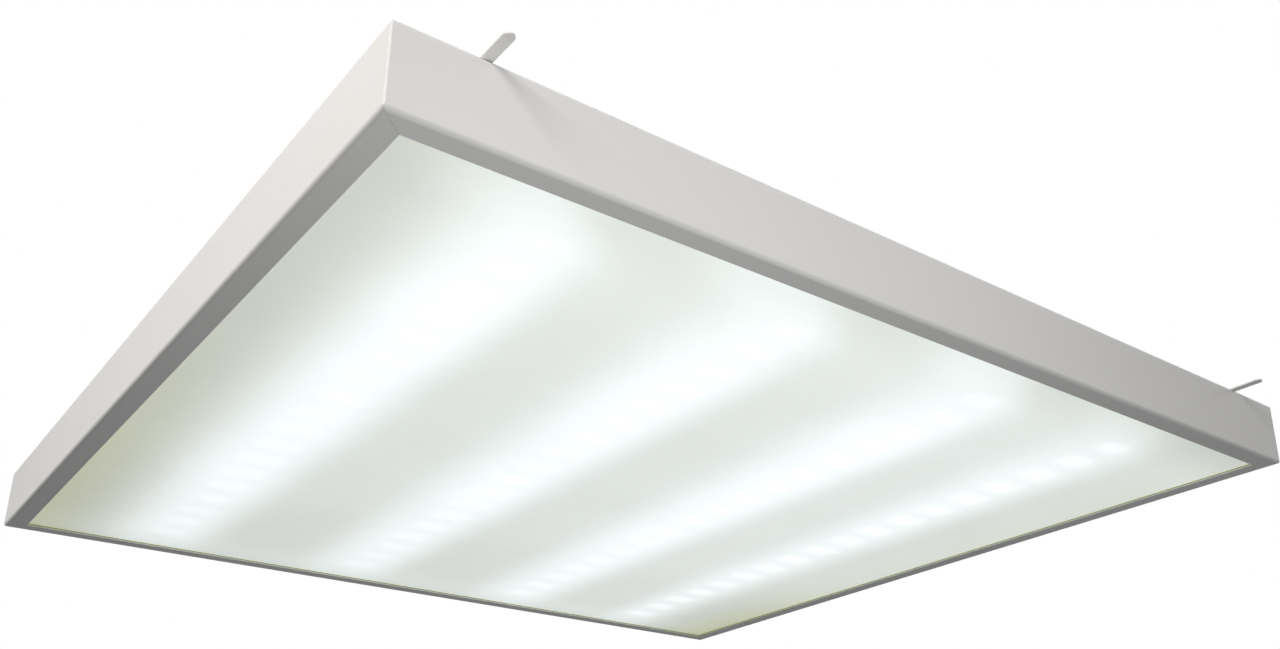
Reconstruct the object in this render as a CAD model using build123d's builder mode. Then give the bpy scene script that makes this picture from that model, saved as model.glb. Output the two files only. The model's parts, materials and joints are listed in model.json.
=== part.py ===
from build123d import *
from math import sqrt
import os

# Recessed lay-in ceiling light for a 600 mm ceiling grid, in millimetres.
# The origin is the centre of the lip's underside, +Z points up into the ceiling,
# and the LED strips run along Y. The lit side faces down.

os.makedirs("parts", exist_ok=True)

# ---------------------------------------------------------------- housing
body_side = 595.0  # outside of the square body
body_height = 40.0  # lip underside to cover top
wall_sheet = 0.8
cover_sheet = 0.8
lip_width = 12.0
return_width = 8.0
bend_radius = 2.2  # outside of the folded edges
corner_radius = 0.8  # outside of the upright corners
mitre_gap = 0.15  # slit between two lips where they meet
cover_setback = 2.2  # cover's edge behind the wall's outside, so that the upper fold hides it
cover_corner_radius = 3.0

bead_height = 1.2  # stiffening beads pressed up into the cover
bead_width = 14.0
bead_end_inset = 97.5  # bead's end to the wall's outside
bead_slope = 45.0
bead_crown_radius = 1.6  # outside of the bend round a bead's flat top
bead_foot_radius = 0.8
bead_inner_place = 135.0
bead_side_inset = 47.5  # outer bead's middle to the wall's outside

suspension_inset = 47.5  # hole to the wall's outside
suspension_hole_radius = 2.5

# ---------------------------------------------------------------- diffuser
diffuser_thickness = 2.0
diffuser_overlap = 3.0  # past the lip's inner edge
diffuser_chamfer = 0.3
tape_width = 2.4
tape_thickness = 0.7
tape_setback = 0.2  # behind the lip's inner edge

# ---------------------------------------------------------------- hold-down tabs
tab_corner_inset = 39.5  # along the wall, from the body's corner
tab_reach = 17.3  # past the wall
tab_width = 5.2
tab_sheet = 0.8
tab_pivot_setback = 12.0  # pivot behind the wall's outside
tab_eye_radius = 4.5
tab_neck_radius = 3.0
tab_rivet_radius = 1.5
tab_rivet_head_radius = 3.2
tab_rivet_head_height = 1.2
tab_rivet_tail_radius = 2.3
tab_rivet_tail_height = 1.2
tab_washer_radius = 3.7
tab_washer_thickness = 0.4

# ---------------------------------------------------------------- fits
running_clearance = 0.05  # shaft in a turning or threaded hole
shank_clearance = 0.15  # shank in a plain hole
slide_clearance = 0.1  # button in its well
lead_clearance = 0.25  # lead in its entry
rounding = 0.4  # small moulded edges

# ---------------------------------------------------------------- screws
recess_width = 0.7
recess_depth = 0.7
head_dome = 0.45  # share of a head's height that is rounded

cover_screw_corner_inset = 97.5  # outermost screw, along the wall, from the body's corner
cover_screws_per_side = 3
cover_screw_setback = 5.3  # axis behind the wall's outside
cover_screw_radius = 1.45
cover_screw_length = 5.0
cover_screw_head_radius = 2.6
cover_screw_head_height = 1.7

# ---------------------------------------------------------------- LED strips
strip_inner_place = 70.0
strip_side_inset = 98.5  # outer strip's middle to the wall's outside
board_width = 20.0
board_end_gap = 34.7  # board's end to the wall's inside
board_thickness = 1.6
led_count = 18
led_end_margin = 12.95  # last LED's middle to the board's end
led_width = 2.8
led_length = 3.5
led_height = 0.5
led_window_width = 2.2
led_window_length = 2.8
led_window_height = 0.2

rivet_steps = (-8, -3, 3, 8)  # strip rivets, in LED pitches from the middle
rivet_radius = 1.5
rivet_head_radius = 3.0
rivet_head_height = 0.9
rivet_tail_radius = 2.2
rivet_tail_height = 1.2

connector_width = 8.0
connector_length = 7.0
connector_height = 4.0
connector_setback = 1.0  # from the board's end

# ---------------------------------------------------------------- inner leads
lead_diameter = 1.8
lead_bend = 9.0
lead_entry_depth = 4.0
long_lane_gap = 12.5  # wall inside to the long jumper
short_lane_gap = 16.0  # wall inside to the short jumpers
output_lane_gap = 25.0  # wall inside to the output leads
output_lead_offset = 2.4  # each output lead from the middle
clip_wall = 0.9
clip_play = 0.1
clip_length = 5.0
clip_pad = 9.0
clip_pad_thickness = 1.0
under_dip_depth = 9.2  # cover's underside to the output leads where they pass below it
under_dip_run = 28.0  # from the grommet to where the output leads rise
under_rise_run = 38.0  # length of that rise, along Y
twin_clip_run = 91.0  # from the grommet to the clip that holds both output leads
feed_straight = 13.0  # live and neutral leads, from the block to their bend
feed_slope = 19.0  # length of their slope, along Y
earth_straight = 4.5  # earth lead, from the block to its bend

# ---------------------------------------------------------------- grommet
grommet_place = -124.0
grommet_hole_radius = 5.6
grommet_bore_radius = 3.8
grommet_flange_radius = 7.4
grommet_flange_height = 1.2

# ---------------------------------------------------------------- driver
driver_place = -12.0  # middle of the driver along Y
driver_length = 150.0
driver_width = 44.0
driver_height = 26.0
driver_wall = 1.5
driver_corner_radius = 3.0
driver_edge_radius = 1.2
ear_length = 12.0
ear_width = 14.0
rim_height = 3.4
rim_wall = 1.2
rim_fit = 0.2
post_radius = 3.0
post_neck_radius = 2.4
post_setback = 0.6  # post's side behind the rim's outside, so that the rim carries it
post_clearance = 0.2
vent_count = 8
vent_pitch = 12.0
vent_width = 2.0
vent_height = 9.0

lid_screw_radius = 1.2
lid_screw_length = 9.0
lid_screw_head_radius = 2.3
lid_screw_head_height = 1.3

fixing_screw_radius = 1.9
fixing_screw_length = 6.0
fixing_screw_head_radius = 3.6
fixing_screw_head_height = 2.4

circuit_standoff = 4.0
circuit_thickness = 1.6
circuit_gap = 0.5  # board edge to lid

input_terminal_width = 20.0
input_terminal_length = 12.0
input_terminal_height = 12.0
input_pitch = 8.0
output_terminal_width = 16.0
output_terminal_length = 10.0
output_terminal_height = 10.0
terminal_axis_height = 5.0  # lead entries above the circuit board
opening_gap = 0.3  # lid round the terminals

# ---------------------------------------------------------------- driver electronics
transformer_x = -4.0
transformer_y = 2.0
core_width = 26.0
core_depth = 12.0
core_height = 16.0
core_leg = 4.0
core_yoke = 3.2
winding_overhang = 5.0
winding_gap = 0.3

choke_x = -8.0
choke_film_gap = 1.35
choke_outer_radius = 8.0
choke_inner_radius = 4.5
choke_height = 7.0
choke_wire = 1.0
choke_winding_gap = 0.15
choke_winding_angle = 120.0

bulk_capacitor_x = 11.0
bulk_film_gap = 8.0
bulk_capacitor_pitch = 16.0
bulk_capacitor_radius = 6.5
bulk_capacitor_height = 16.0
output_capacitor_x = -10.0
output_capacitor_gap = 16.0  # to the output terminal
output_capacitor_pitch = 14.0
output_capacitor_radius = 5.0
output_capacitor_height = 12.5
capacitor_groove = 0.35
capacitor_groove_height = 1.2
capacitor_groove_place = 2.0

film_x = 6.0
film_terminal_gap = 3.5
film_width = 15.0
film_depth = 7.0
film_height = 12.0

sink_gap = 2.75  # to the lid's inside
sink_y = -20.0
sink_length = 50.0
sink_thickness = 1.5
sink_height = 15.0
sink_foot = 4.0
transistor_thickness = 4.4
transistor_width = 10.0
transistor_height = 13.0
transistor_pitch = 24.0

# ---------------------------------------------------------------- mains terminal block
block_place = 125.0  # middle of the block along Y
block_length = 26.0
block_width = 34.0
block_height = 18.0
block_ear_width = 8.0
block_ear_length = 12.0
block_ear_height = 3.0
insulator_thickness = 1.0
insulator_margin = 2.0
pole_pitch = 10.0
pole_count = 3
entry_side = 4.6  # square mouth for a mains conductor
entry_height = 3.5  # mouth's middle above the insulator
chamber_width = 7.0
chamber_length = 9.0
chamber_height = 11.0
button_width = 5.0
button_length = 6.0
button_proud = 2.5
button_travel = 1.5
button_flange = 0.7
button_flange_height = 1.6
button_dimple_radius = 1.4
button_dimple_depth = 0.5
clamp_strip = 0.8
clamp_width = 5.6
clamp_length = 8.0
clamp_gap = 0.2
block_screw_radius = 1.45
block_screw_length = 6.0
block_screw_head_radius = 2.8
block_screw_head_height = 1.8

# ---------------------------------------------------------------- earth point
earth_x = 40.0
earth_y = 92.0
earth_screw_radius = 2.0
earth_screw_length = 7.0
earth_head_radius = 3.8
earth_head_height = 2.6
earth_washer_radius = 4.4
earth_washer_thickness = 0.8
earth_nut_flats = 7.0
earth_nut_height = 3.2
lug_radius = 4.2
lug_sheet = 0.8
barrel_radius = 1.7
barrel_length = 6.0
barrel_gap = 0.4  # barrel to washer

# ---------------------------------------------------------------- worked-out places
half_side = body_side / 2
cover_low = body_height - cover_sheet
cover_side = body_side - 2 * cover_setback
suspension_pitch = body_side - 2 * suspension_inset
bead_length = body_side - 2 * bead_end_inset
lip_inner = half_side - lip_width
return_inner = half_side - return_width
wall_inner = half_side - wall_sheet
diffuser_low = wall_sheet + tape_thickness
diffuser_half = lip_inner + diffuser_overlap

board_low = cover_low - board_thickness
board_end = wall_inner - board_end_gap
board_length = 2 * board_end
led_pitch = (board_length - 2 * led_end_margin) / (led_count - 1)
strip_outer_place = half_side - strip_side_inset
strip_places = (-strip_outer_place, -strip_inner_place, strip_inner_place, strip_outer_place)
rivet_spots = [(x, step * led_pitch) for x in strip_places for step in rivet_steps]

cover_screw_spots = []
cover_screw_pitch = 2 * (half_side - cover_screw_corner_inset) / (cover_screws_per_side - 1)
for number in range(cover_screws_per_side):
    along = (number - (cover_screws_per_side - 1) / 2) * cover_screw_pitch
    across = half_side - cover_screw_setback
    cover_screw_spots += [(along, across), (along, -across), (across, along), (-across, along)]

tab_place = half_side - tab_corner_inset
tab_pivot = half_side - tab_pivot_setback
tab_spots = [
    (-tab_place, -tab_pivot),
    (tab_place, -tab_pivot),
    (tab_place, tab_pivot),
    (-tab_place, tab_pivot),
]
bead_outer_place = half_side - bead_side_inset
bead_places = (-bead_outer_place, -bead_inner_place, bead_inner_place, bead_outer_place)

driver_floor = body_height + driver_wall
driver_top = body_height + driver_height
driver_inner_width = driver_width - 2 * driver_wall
driver_inner_length = driver_length - 2 * driver_wall
rim_width = driver_inner_width - 2 * rim_fit
rim_length = driver_inner_length - 2 * rim_fit
circuit_low = driver_floor + circuit_standoff
circuit_top = circuit_low + circuit_thickness
post_x = rim_width / 2 - post_setback - post_radius
post_y = rim_length / 2 - post_setback - post_radius
post_spots = [(x, driver_place + y) for x in (-post_x, post_x) for y in (-post_y, post_y)]
ear_y = driver_length / 2 + ear_length / 2
ear_spots = [(0, driver_place - ear_y), (0, driver_place + ear_y)]
terminal_axis = circuit_top + terminal_axis_height
input_face = driver_place + driver_length / 2
output_face = driver_place - driver_length / 2
film_y = input_face - input_terminal_length - film_terminal_gap - film_depth / 2
film_near_side = film_y - film_depth / 2
choke_reach = choke_outer_radius + choke_winding_gap + choke_wire
choke_y = film_near_side - choke_film_gap - choke_reach
bulk_y = film_near_side - bulk_film_gap - bulk_capacitor_radius
output_capacitor_y = output_face + output_terminal_length + output_capacitor_gap + output_capacitor_radius
sink_x = driver_inner_width / 2 - sink_gap - sink_thickness / 2

block_low = body_height + insulator_thickness
block_top = block_low + block_height
chamber_top = block_low + chamber_height
entry_axis = block_low + entry_height
pole_places = [(number - (pole_count - 1) / 2) * pole_pitch for number in range(pole_count)]
block_front = block_place - block_length / 2
block_back = block_place + block_length / 2
block_screw_x = block_width / 2 + block_ear_width / 2
block_screw_spots = [(-block_screw_x, block_place), (block_screw_x, block_place)]
lead_entry_radius = lead_diameter / 2 + lead_clearance


# ---------------------------------------------------------------- shared shapes
def turned(*steps):
    """Round solid on the Z axis, from (radius, low, high) steps."""
    with BuildPart() as solid:
        for radius, low, high in steps:
            with BuildSketch(Plane.XY.offset(low)):
                Circle(radius)
            extrude(amount=high - low)
    return solid.part


def pan_screw(seat, head_radius, head_height, shank_radius, shank_length):
    """Pan-head screw on the Z axis with a cross recess, its head standing on the height seat."""
    with BuildPart() as screw:
        with BuildSketch(Plane.XY.offset(seat)):
            Circle(head_radius)
        extrude(amount=head_height)
        fillet(screw.edges().group_by(Axis.Z)[-1], head_dome * head_height)
        with BuildSketch(Plane.XY.offset(seat)):
            Circle(shank_radius)
        extrude(amount=-shank_length)
        with BuildSketch(Plane.XY.offset(seat + head_height)):
            Rectangle(head_radius, recess_width)
            Rectangle(recess_width, head_radius)
        extrude(amount=-recess_depth, mode=Mode.SUBTRACT)
    return screw.part


def lead(points, radii):
    """Insulated lead along straight runs joined by tangent arcs."""
    start = Vector(*points[0])
    towards = Vector(*points[1]) - start
    with BuildLine() as route:
        FilletPolyline(*points, radius=radii)
    with BuildPart() as tube:
        with BuildSketch(Plane(origin=start, z_dir=towards)):
            Circle(lead_diameter / 2)
        sweep(path=route.wire())
    return tube.part


# ---------------------------------------------------------------- housing
with BuildLine() as frame_path:
    Polyline(
        (half_side, 0),
        (half_side, half_side),
        (-half_side, half_side),
        (-half_side, -half_side),
        (half_side, -half_side),
        (half_side, 0),
    )

with BuildPart() as housing_frame:
    with BuildSketch(Plane.XZ):
        with BuildLine():
            FilletPolyline(
                (lip_inner, 0),
                (half_side, 0),
                (half_side, cover_low),
                (return_inner, cover_low),
                radius=bend_radius,
            )
            Line((return_inner, cover_low), (return_inner, cover_low - wall_sheet))
            FilletPolyline(
                (return_inner, cover_low - wall_sheet),
                (wall_inner, cover_low - wall_sheet),
                (wall_inner, wall_sheet),
                (lip_inner, wall_sheet),
                radius=bend_radius - wall_sheet,
            )
            Line((lip_inner, wall_sheet), (lip_inner, 0))
        make_face()
    sweep(path=frame_path.wire(), transition=Transition.RIGHT)
    with BuildSketch():
        RectangleRounded(body_side, body_side, corner_radius)
    extrude(amount=cover_low, mode=Mode.INTERSECT)
    # Each lip and each return is a flap of its own, so a slit parts it from its neighbour.
    slit_outer = (half_side - bend_radius) * sqrt(2)
    slit_inner = (lip_inner - lip_width) * sqrt(2)
    for low in (0, cover_low - wall_sheet):
        with BuildSketch(Plane.XY.offset(low)):
            with PolarLocations((slit_outer + slit_inner) / 2, 4, start_angle=45):
                Rectangle(slit_outer - slit_inner, mitre_gap)
        extrude(amount=wall_sheet, mode=Mode.SUBTRACT)
    with BuildSketch(Plane.XY.offset(cover_low)):
        with Locations(*cover_screw_spots):
            Circle(cover_screw_radius + running_clearance)
    extrude(amount=-wall_sheet, mode=Mode.SUBTRACT)
housing_frame.part.label = "housing_frame"
export_step(housing_frame.part, "parts/housing_frame.step")

with BuildPart() as back_cover:
    with BuildSketch(Plane.XY.offset(cover_low)):
        RectangleRounded(cover_side, cover_side, cover_corner_radius)
    extrude(amount=cover_sheet)
    with BuildSketch(Plane.XY.offset(body_height)):
        with Locations(*[(x, 0) for x in bead_places]):
            SlotOverall(bead_length, bead_width, rotation=90)
    extrude(amount=bead_height, taper=bead_slope)
    fillet(back_cover.edges().group_by(Axis.Z)[-1], bead_crown_radius)
    cover_top = [face for face in back_cover.faces().filter_by(Axis.Z) if face.inner_wires()][0]
    fillet(cover_top.inner_wires().edges(), bead_foot_radius)
    with BuildSketch(Plane.XY.offset(cover_low)):
        with Locations(*[(x, 0) for x in bead_places]):
            SlotOverall(bead_length, bead_width, rotation=90)
    extrude(amount=bead_height, taper=bead_slope, mode=Mode.SUBTRACT)
    with BuildSketch(Plane.XY.offset(cover_low)):
        with Locations(*cover_screw_spots):
            Circle(cover_screw_radius + shank_clearance)
        with Locations(*rivet_spots):
            Circle(rivet_radius + shank_clearance)
        with Locations(*tab_spots):
            Circle(tab_rivet_radius + running_clearance)
        with GridLocations(suspension_pitch, suspension_pitch, 2, 2):
            Circle(suspension_hole_radius)
        with Locations((0, grommet_place)):
            Circle(grommet_hole_radius)
        with Locations(*ear_spots):
            Circle(fixing_screw_radius + running_clearance)
        with Locations(*block_screw_spots):
            Circle(block_screw_radius + running_clearance)
        with Locations((earth_x, earth_y)):
            Circle(earth_screw_radius + shank_clearance)
    extrude(amount=cover_sheet, mode=Mode.SUBTRACT)
back_cover.part.label = "back_cover"
export_step(back_cover.part, "parts/back_cover.step")

cover_screw = pan_screw(
    body_height,
    cover_screw_head_radius,
    cover_screw_head_height,
    cover_screw_radius,
    cover_screw_length,
)
with BuildPart() as cover_screws:
    with Locations(*cover_screw_spots):
        add(cover_screw)
cover_screws.part.label = "cover_screws"
export_step(cover_screws.part, "parts/cover_screws.step")

# ---------------------------------------------------------------- diffuser
with BuildPart() as diffuser:
    with BuildSketch(Plane.XY.offset(diffuser_low)):
        Rectangle(2 * diffuser_half, 2 * diffuser_half)
    extrude(amount=diffuser_thickness)
    chamfer(diffuser.faces().sort_by(Axis.Z)[0].edges(), diffuser_chamfer)
diffuser.part.label = "diffuser"
export_step(diffuser.part, "parts/diffuser.step")

tape_middle = lip_inner + tape_setback + tape_width / 2
tape_long = 2 * (tape_middle + tape_width / 2)
with BuildPart() as diffuser_tape:
    with BuildSketch(Plane.XY.offset(wall_sheet)):
        with Locations((0, tape_middle), (0, -tape_middle)):
            Rectangle(tape_long, tape_width)
    extrude(amount=tape_thickness)
    with BuildSketch(Plane.XY.offset(wall_sheet)):
        with Locations((tape_middle, 0), (-tape_middle, 0)):
            Rectangle(tape_width, tape_long - 2 * tape_width - 2 * tape_setback)
    extrude(amount=tape_thickness)
diffuser_tape.part.label = "diffuser_tape"
export_step(diffuser_tape.part, "parts/diffuser_tape.step")

# ---------------------------------------------------------------- LED strips
for number, place in enumerate(strip_places, start=1):
    with BuildPart() as led_strip:
        with BuildSketch(Plane.XY.offset(board_low)):
            with Locations((place, 0)):
                Rectangle(board_width, board_length)
            with Locations(*[(place, step * led_pitch) for step in rivet_steps]):
                Circle(rivet_radius + shank_clearance, mode=Mode.SUBTRACT)
        extrude(amount=board_thickness)
    led_strip.part.label = f"led_strip_{number}"
    export_step(led_strip.part, f"parts/led_strip_{number}.step")

    with BuildPart() as led_chips:
        with BuildSketch(Plane.XY.offset(board_low)):
            with Locations((place, 0)):
                with GridLocations(0, led_pitch, 1, led_count):
                    Rectangle(led_width, led_length)
        extrude(amount=-led_height)
        with BuildSketch(Plane.XY.offset(board_low - led_height)):
            with Locations((place, 0)):
                with GridLocations(0, led_pitch, 1, led_count):
                    Rectangle(led_window_width, led_window_length)
        extrude(amount=-led_window_height)
    led_chips.part.label = f"led_chips_{number}"
    export_step(led_chips.part, f"parts/led_chips_{number}.step")

strip_rivet = turned(
    (rivet_head_radius, board_low - rivet_head_height, board_low),
    (rivet_radius, board_low, body_height),
    (rivet_tail_radius, body_height, body_height + rivet_tail_height),
)
with BuildPart() as strip_rivets:
    with Locations(*rivet_spots):
        add(strip_rivet)
strip_rivets.part.label = "strip_rivets"
export_step(strip_rivets.part, "parts/strip_rivets.step")

connector_y = board_end - connector_setback - connector_length / 2
connector_face = board_end - connector_setback
connector_axis = board_low - connector_height / 2
with BuildPart() as strip_connectors:
    with BuildSketch(Plane.XY.offset(board_low)):
        with Locations(*[(x, side * connector_y) for x in strip_places for side in (-1, 1)]):
            Rectangle(connector_width, connector_length)
    extrude(amount=-connector_height)
    for side in (-1, 1):
        face = (0, side * connector_face, connector_axis)
        with BuildSketch(Plane(origin=face, x_dir=(1, 0, 0), z_dir=(0, -side, 0))):
            with Locations(*[(x, 0) for x in strip_places]):
                Circle(lead_entry_radius)
        extrude(amount=lead_entry_depth, mode=Mode.SUBTRACT)
strip_connectors.part.label = "strip_connectors"
export_step(strip_connectors.part, "parts/strip_connectors.step")

# ---------------------------------------------------------------- hold-down tabs
tab_tip = half_side + tab_reach - tab_width / 2
tab_neck = sqrt(tab_eye_radius**2 - (tab_width / 2) ** 2)
for number, (x, y) in enumerate(tab_spots, start=1):
    side = 1 if y > 0 else -1
    with BuildPart() as hold_down_tab:
        with BuildSketch(Plane.XY.offset(body_height)) as tab_outline:
            with Locations((x, y)):
                Circle(tab_eye_radius)
            with Locations((x, side * (tab_pivot + tab_tip) / 2)):
                SlotCenterToCenter(tab_tip - tab_pivot, tab_width, rotation=90)
            neck = side * (tab_pivot + tab_neck)
            corners = tab_outline.vertices().sort_by(lambda corner: abs(corner.Y - neck))[:2]
            fillet(corners, tab_neck_radius)
            with Locations((x, y)):
                Circle(tab_rivet_radius + running_clearance, mode=Mode.SUBTRACT)
        extrude(amount=tab_sheet)
    hold_down_tab.part.label = f"hold_down_tab_{number}"
    export_step(hold_down_tab.part, f"parts/hold_down_tab_{number}.step")

tab_top = body_height + tab_sheet
tab_washer_top = tab_top + tab_washer_thickness
with BuildPart() as tab_washers:
    with BuildSketch(Plane.XY.offset(tab_top)):
        with Locations(*tab_spots):
            Circle(tab_washer_radius)
            Circle(tab_rivet_radius + shank_clearance, mode=Mode.SUBTRACT)
    extrude(amount=tab_washer_thickness)
tab_washers.part.label = "tab_washers"
export_step(tab_washers.part, "parts/tab_washers.step")

tab_rivet = turned(
    (tab_rivet_tail_radius, cover_low - tab_rivet_tail_height, cover_low),
    (tab_rivet_radius, cover_low, tab_washer_top),
    (tab_rivet_head_radius, tab_washer_top, tab_washer_top + tab_rivet_head_height),
)
with BuildPart() as tab_rivets:
    with Locations(*tab_spots):
        add(tab_rivet)
tab_rivets.part.label = "tab_rivets"
export_step(tab_rivets.part, "parts/tab_rivets.step")

# ---------------------------------------------------------------- grommet
grommet_low = cover_low - grommet_flange_height
grommet_top = body_height + grommet_flange_height
grommet_plug = turned(
    (grommet_flange_radius, grommet_low, cover_low),
    (grommet_hole_radius, cover_low, body_height),
    (grommet_flange_radius, body_height, grommet_top),
)
with BuildPart() as grommet:
    with Locations((0, grommet_place)):
        add(grommet_plug)
    fillet(grommet.edges().group_by(Axis.Z)[-1], rounding)
    with BuildSketch(Plane.XY.offset(grommet_low)):
        with Locations((0, grommet_place)):
            Circle(grommet_bore_radius)
    extrude(amount=grommet_top - grommet_low, mode=Mode.SUBTRACT)
grommet.part.label = "grommet"
export_step(grommet.part, "parts/grommet.step")

# ---------------------------------------------------------------- driver housing
with BuildPart() as driver_base:
    with BuildSketch(Plane.XY.offset(body_height)):
        with Locations((0, driver_place)):
            RectangleRounded(driver_width, driver_length, driver_corner_radius)
        with Locations(*ear_spots):
            RectangleRounded(ear_width, 2 * ear_length, driver_corner_radius)
        with Locations(*ear_spots):
            Circle(fixing_screw_radius + shank_clearance, mode=Mode.SUBTRACT)
    extrude(amount=driver_wall)
    with BuildSketch(Plane.XY.offset(driver_floor)):
        with Locations((0, driver_place)):
            RectangleRounded(rim_width, rim_length, driver_corner_radius - driver_wall)
            Rectangle(rim_width - 2 * rim_wall, rim_length - 2 * rim_wall, mode=Mode.SUBTRACT)
    extrude(amount=rim_height)
    with BuildSketch(Plane.XY.offset(driver_floor)):
        with Locations(*post_spots):
            Circle(post_radius)
    extrude(amount=circuit_standoff)
    with BuildSketch(Plane.XY.offset(circuit_low)):
        with Locations(*post_spots):
            Circle(post_neck_radius)
    extrude(amount=driver_top - driver_wall - circuit_low)
    with BuildSketch(Plane.XY.offset(driver_top - driver_wall)):
        with Locations(*post_spots):
            Circle(lid_screw_radius + running_clearance)
    extrude(amount=-lid_screw_length, mode=Mode.SUBTRACT)
driver_base.part.label = "driver_base"
export_step(driver_base.part, "parts/driver_base.step")

with BuildPart() as driver_lid:
    with BuildSketch(Plane.XY.offset(driver_floor)):
        with Locations((0, driver_place)):
            RectangleRounded(driver_width, driver_length, driver_corner_radius)
    extrude(amount=driver_top - driver_floor)
    fillet(driver_lid.faces().sort_by(Axis.Z)[-1].edges(), driver_edge_radius)
    with BuildSketch(Plane.XY.offset(driver_floor)):
        with Locations((0, driver_place)):
            RectangleRounded(driver_inner_width, driver_inner_length, driver_corner_radius - driver_wall)
    extrude(amount=driver_top - driver_wall - driver_floor, mode=Mode.SUBTRACT)
    with BuildSketch(Plane.XY.offset(driver_floor)):
        with Locations((0, input_face)):
            Rectangle(input_terminal_width + 2 * opening_gap, 4 * driver_wall)
    extrude(amount=circuit_top + input_terminal_height + opening_gap - driver_floor, mode=Mode.SUBTRACT)
    with BuildSketch(Plane.XY.offset(driver_floor)):
        with Locations((0, output_face)):
            Rectangle(output_terminal_width + 2 * opening_gap, 4 * driver_wall)
    extrude(amount=circuit_top + output_terminal_height + opening_gap - driver_floor, mode=Mode.SUBTRACT)
    with BuildSketch(Plane.YZ.offset(-driver_width / 2)):
        with Locations((driver_place, (circuit_top + driver_top) / 2)):
            with GridLocations(vent_pitch, 0, vent_count, 1):
                SlotOverall(vent_height, vent_width, rotation=90)
    extrude(amount=driver_width, mode=Mode.SUBTRACT)
    with BuildSketch(Plane.XY.offset(driver_top)):
        with Locations(*post_spots):
            Circle(lid_screw_radius + shank_clearance)
    extrude(amount=-driver_wall, mode=Mode.SUBTRACT)
driver_lid.part.label = "driver_lid"
export_step(driver_lid.part, "parts/driver_lid.step")

lid_screw = pan_screw(
    driver_top, lid_screw_head_radius, lid_screw_head_height, lid_screw_radius, lid_screw_length
)
with BuildPart() as lid_screws:
    with Locations(*post_spots):
        add(lid_screw)
lid_screws.part.label = "lid_screws"
export_step(lid_screws.part, "parts/lid_screws.step")

fixing_screw = pan_screw(
    driver_floor,
    fixing_screw_head_radius,
    fixing_screw_head_height,
    fixing_screw_radius,
    fixing_screw_length,
)
with BuildPart() as driver_screws:
    with Locations(*ear_spots):
        add(fixing_screw)
driver_screws.part.label = "driver_screws"
export_step(driver_screws.part, "parts/driver_screws.step")

# ---------------------------------------------------------------- driver electronics
with BuildPart() as circuit_board:
    with BuildSketch(Plane.XY.offset(circuit_low)):
        with Locations((0, driver_place)):
            Rectangle(driver_inner_width - 2 * circuit_gap, driver_inner_length - 2 * circuit_gap)
        with Locations(*post_spots):
            Circle(post_neck_radius + post_clearance, mode=Mode.SUBTRACT)
    extrude(amount=circuit_thickness)
circuit_board.part.label = "circuit_board"
export_step(circuit_board.part, "parts/circuit_board.step")

with BuildPart() as input_terminal:
    with BuildSketch(Plane.XY.offset(circuit_top)):
        with Locations((0, input_face - input_terminal_length / 2)):
            Rectangle(input_terminal_width, input_terminal_length)
    extrude(amount=input_terminal_height)
    with BuildSketch(Plane(origin=(0, input_face, terminal_axis), x_dir=(1, 0, 0), z_dir=(0, -1, 0))):
        with GridLocations(input_pitch, 0, 2, 1):
            Circle(lead_entry_radius)
    extrude(amount=lead_entry_depth, mode=Mode.SUBTRACT)
input_terminal.part.label = "input_terminal"
export_step(input_terminal.part, "parts/input_terminal.step")

with BuildPart() as output_terminal:
    with BuildSketch(Plane.XY.offset(circuit_top)):
        with Locations((0, output_face + output_terminal_length / 2)):
            Rectangle(output_terminal_width, output_terminal_length)
    extrude(amount=output_terminal_height)
    with BuildSketch(Plane(origin=(0, output_face, terminal_axis), x_dir=(1, 0, 0), z_dir=(0, 1, 0))):
        with GridLocations(2 * output_lead_offset, 0, 2, 1):
            Circle(lead_entry_radius)
    extrude(amount=lead_entry_depth, mode=Mode.SUBTRACT)
output_terminal.part.label = "output_terminal"
export_step(output_terminal.part, "parts/output_terminal.step")

window_width = (core_width - 3 * core_leg) / 2
window_height = core_height - 2 * core_yoke
window_offset = (core_leg + window_width) / 2
transformer_spot = (transformer_x, driver_place + transformer_y)
with BuildPart() as transformer_core:
    with BuildSketch(Plane.XY.offset(circuit_top)):
        with Locations(transformer_spot):
            Rectangle(core_width, core_depth)
    extrude(amount=core_height)
    with BuildSketch(Plane.XY.offset(circuit_top + core_yoke)):
        with Locations(transformer_spot):
            with GridLocations(2 * window_offset, 0, 2, 1):
                Rectangle(window_width, core_depth)
    extrude(amount=window_height, mode=Mode.SUBTRACT)
transformer_core.part.label = "transformer_core"
export_step(transformer_core.part, "parts/transformer_core.step")

with BuildPart() as transformer_winding:
    with BuildSketch(Plane.XY.offset(circuit_top + core_yoke)):
        with Locations(transformer_spot):
            RectangleRounded(
                core_leg + 2 * (window_width - winding_gap),
                core_depth + 2 * winding_overhang,
                window_width - 2 * winding_gap,
            )
            Rectangle(core_leg + 2 * winding_gap, core_depth + 2 * winding_gap, mode=Mode.SUBTRACT)
    extrude(amount=window_height)
transformer_winding.part.label = "transformer_winding"
export_step(transformer_winding.part, "parts/transformer_winding.step")

choke_low = circuit_top + choke_wire + choke_winding_gap
choke_spot = Vector(choke_x, choke_y, 0)
with BuildPart() as choke_core:
    with BuildSketch(Plane.XY.offset(choke_low)):
        with Locations(choke_spot):
            Circle(choke_outer_radius)
            Circle(choke_inner_radius, mode=Mode.SUBTRACT)
    extrude(amount=choke_height)
choke_core.part.label = "choke_core"
export_step(choke_core.part, "parts/choke_core.step")

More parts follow.
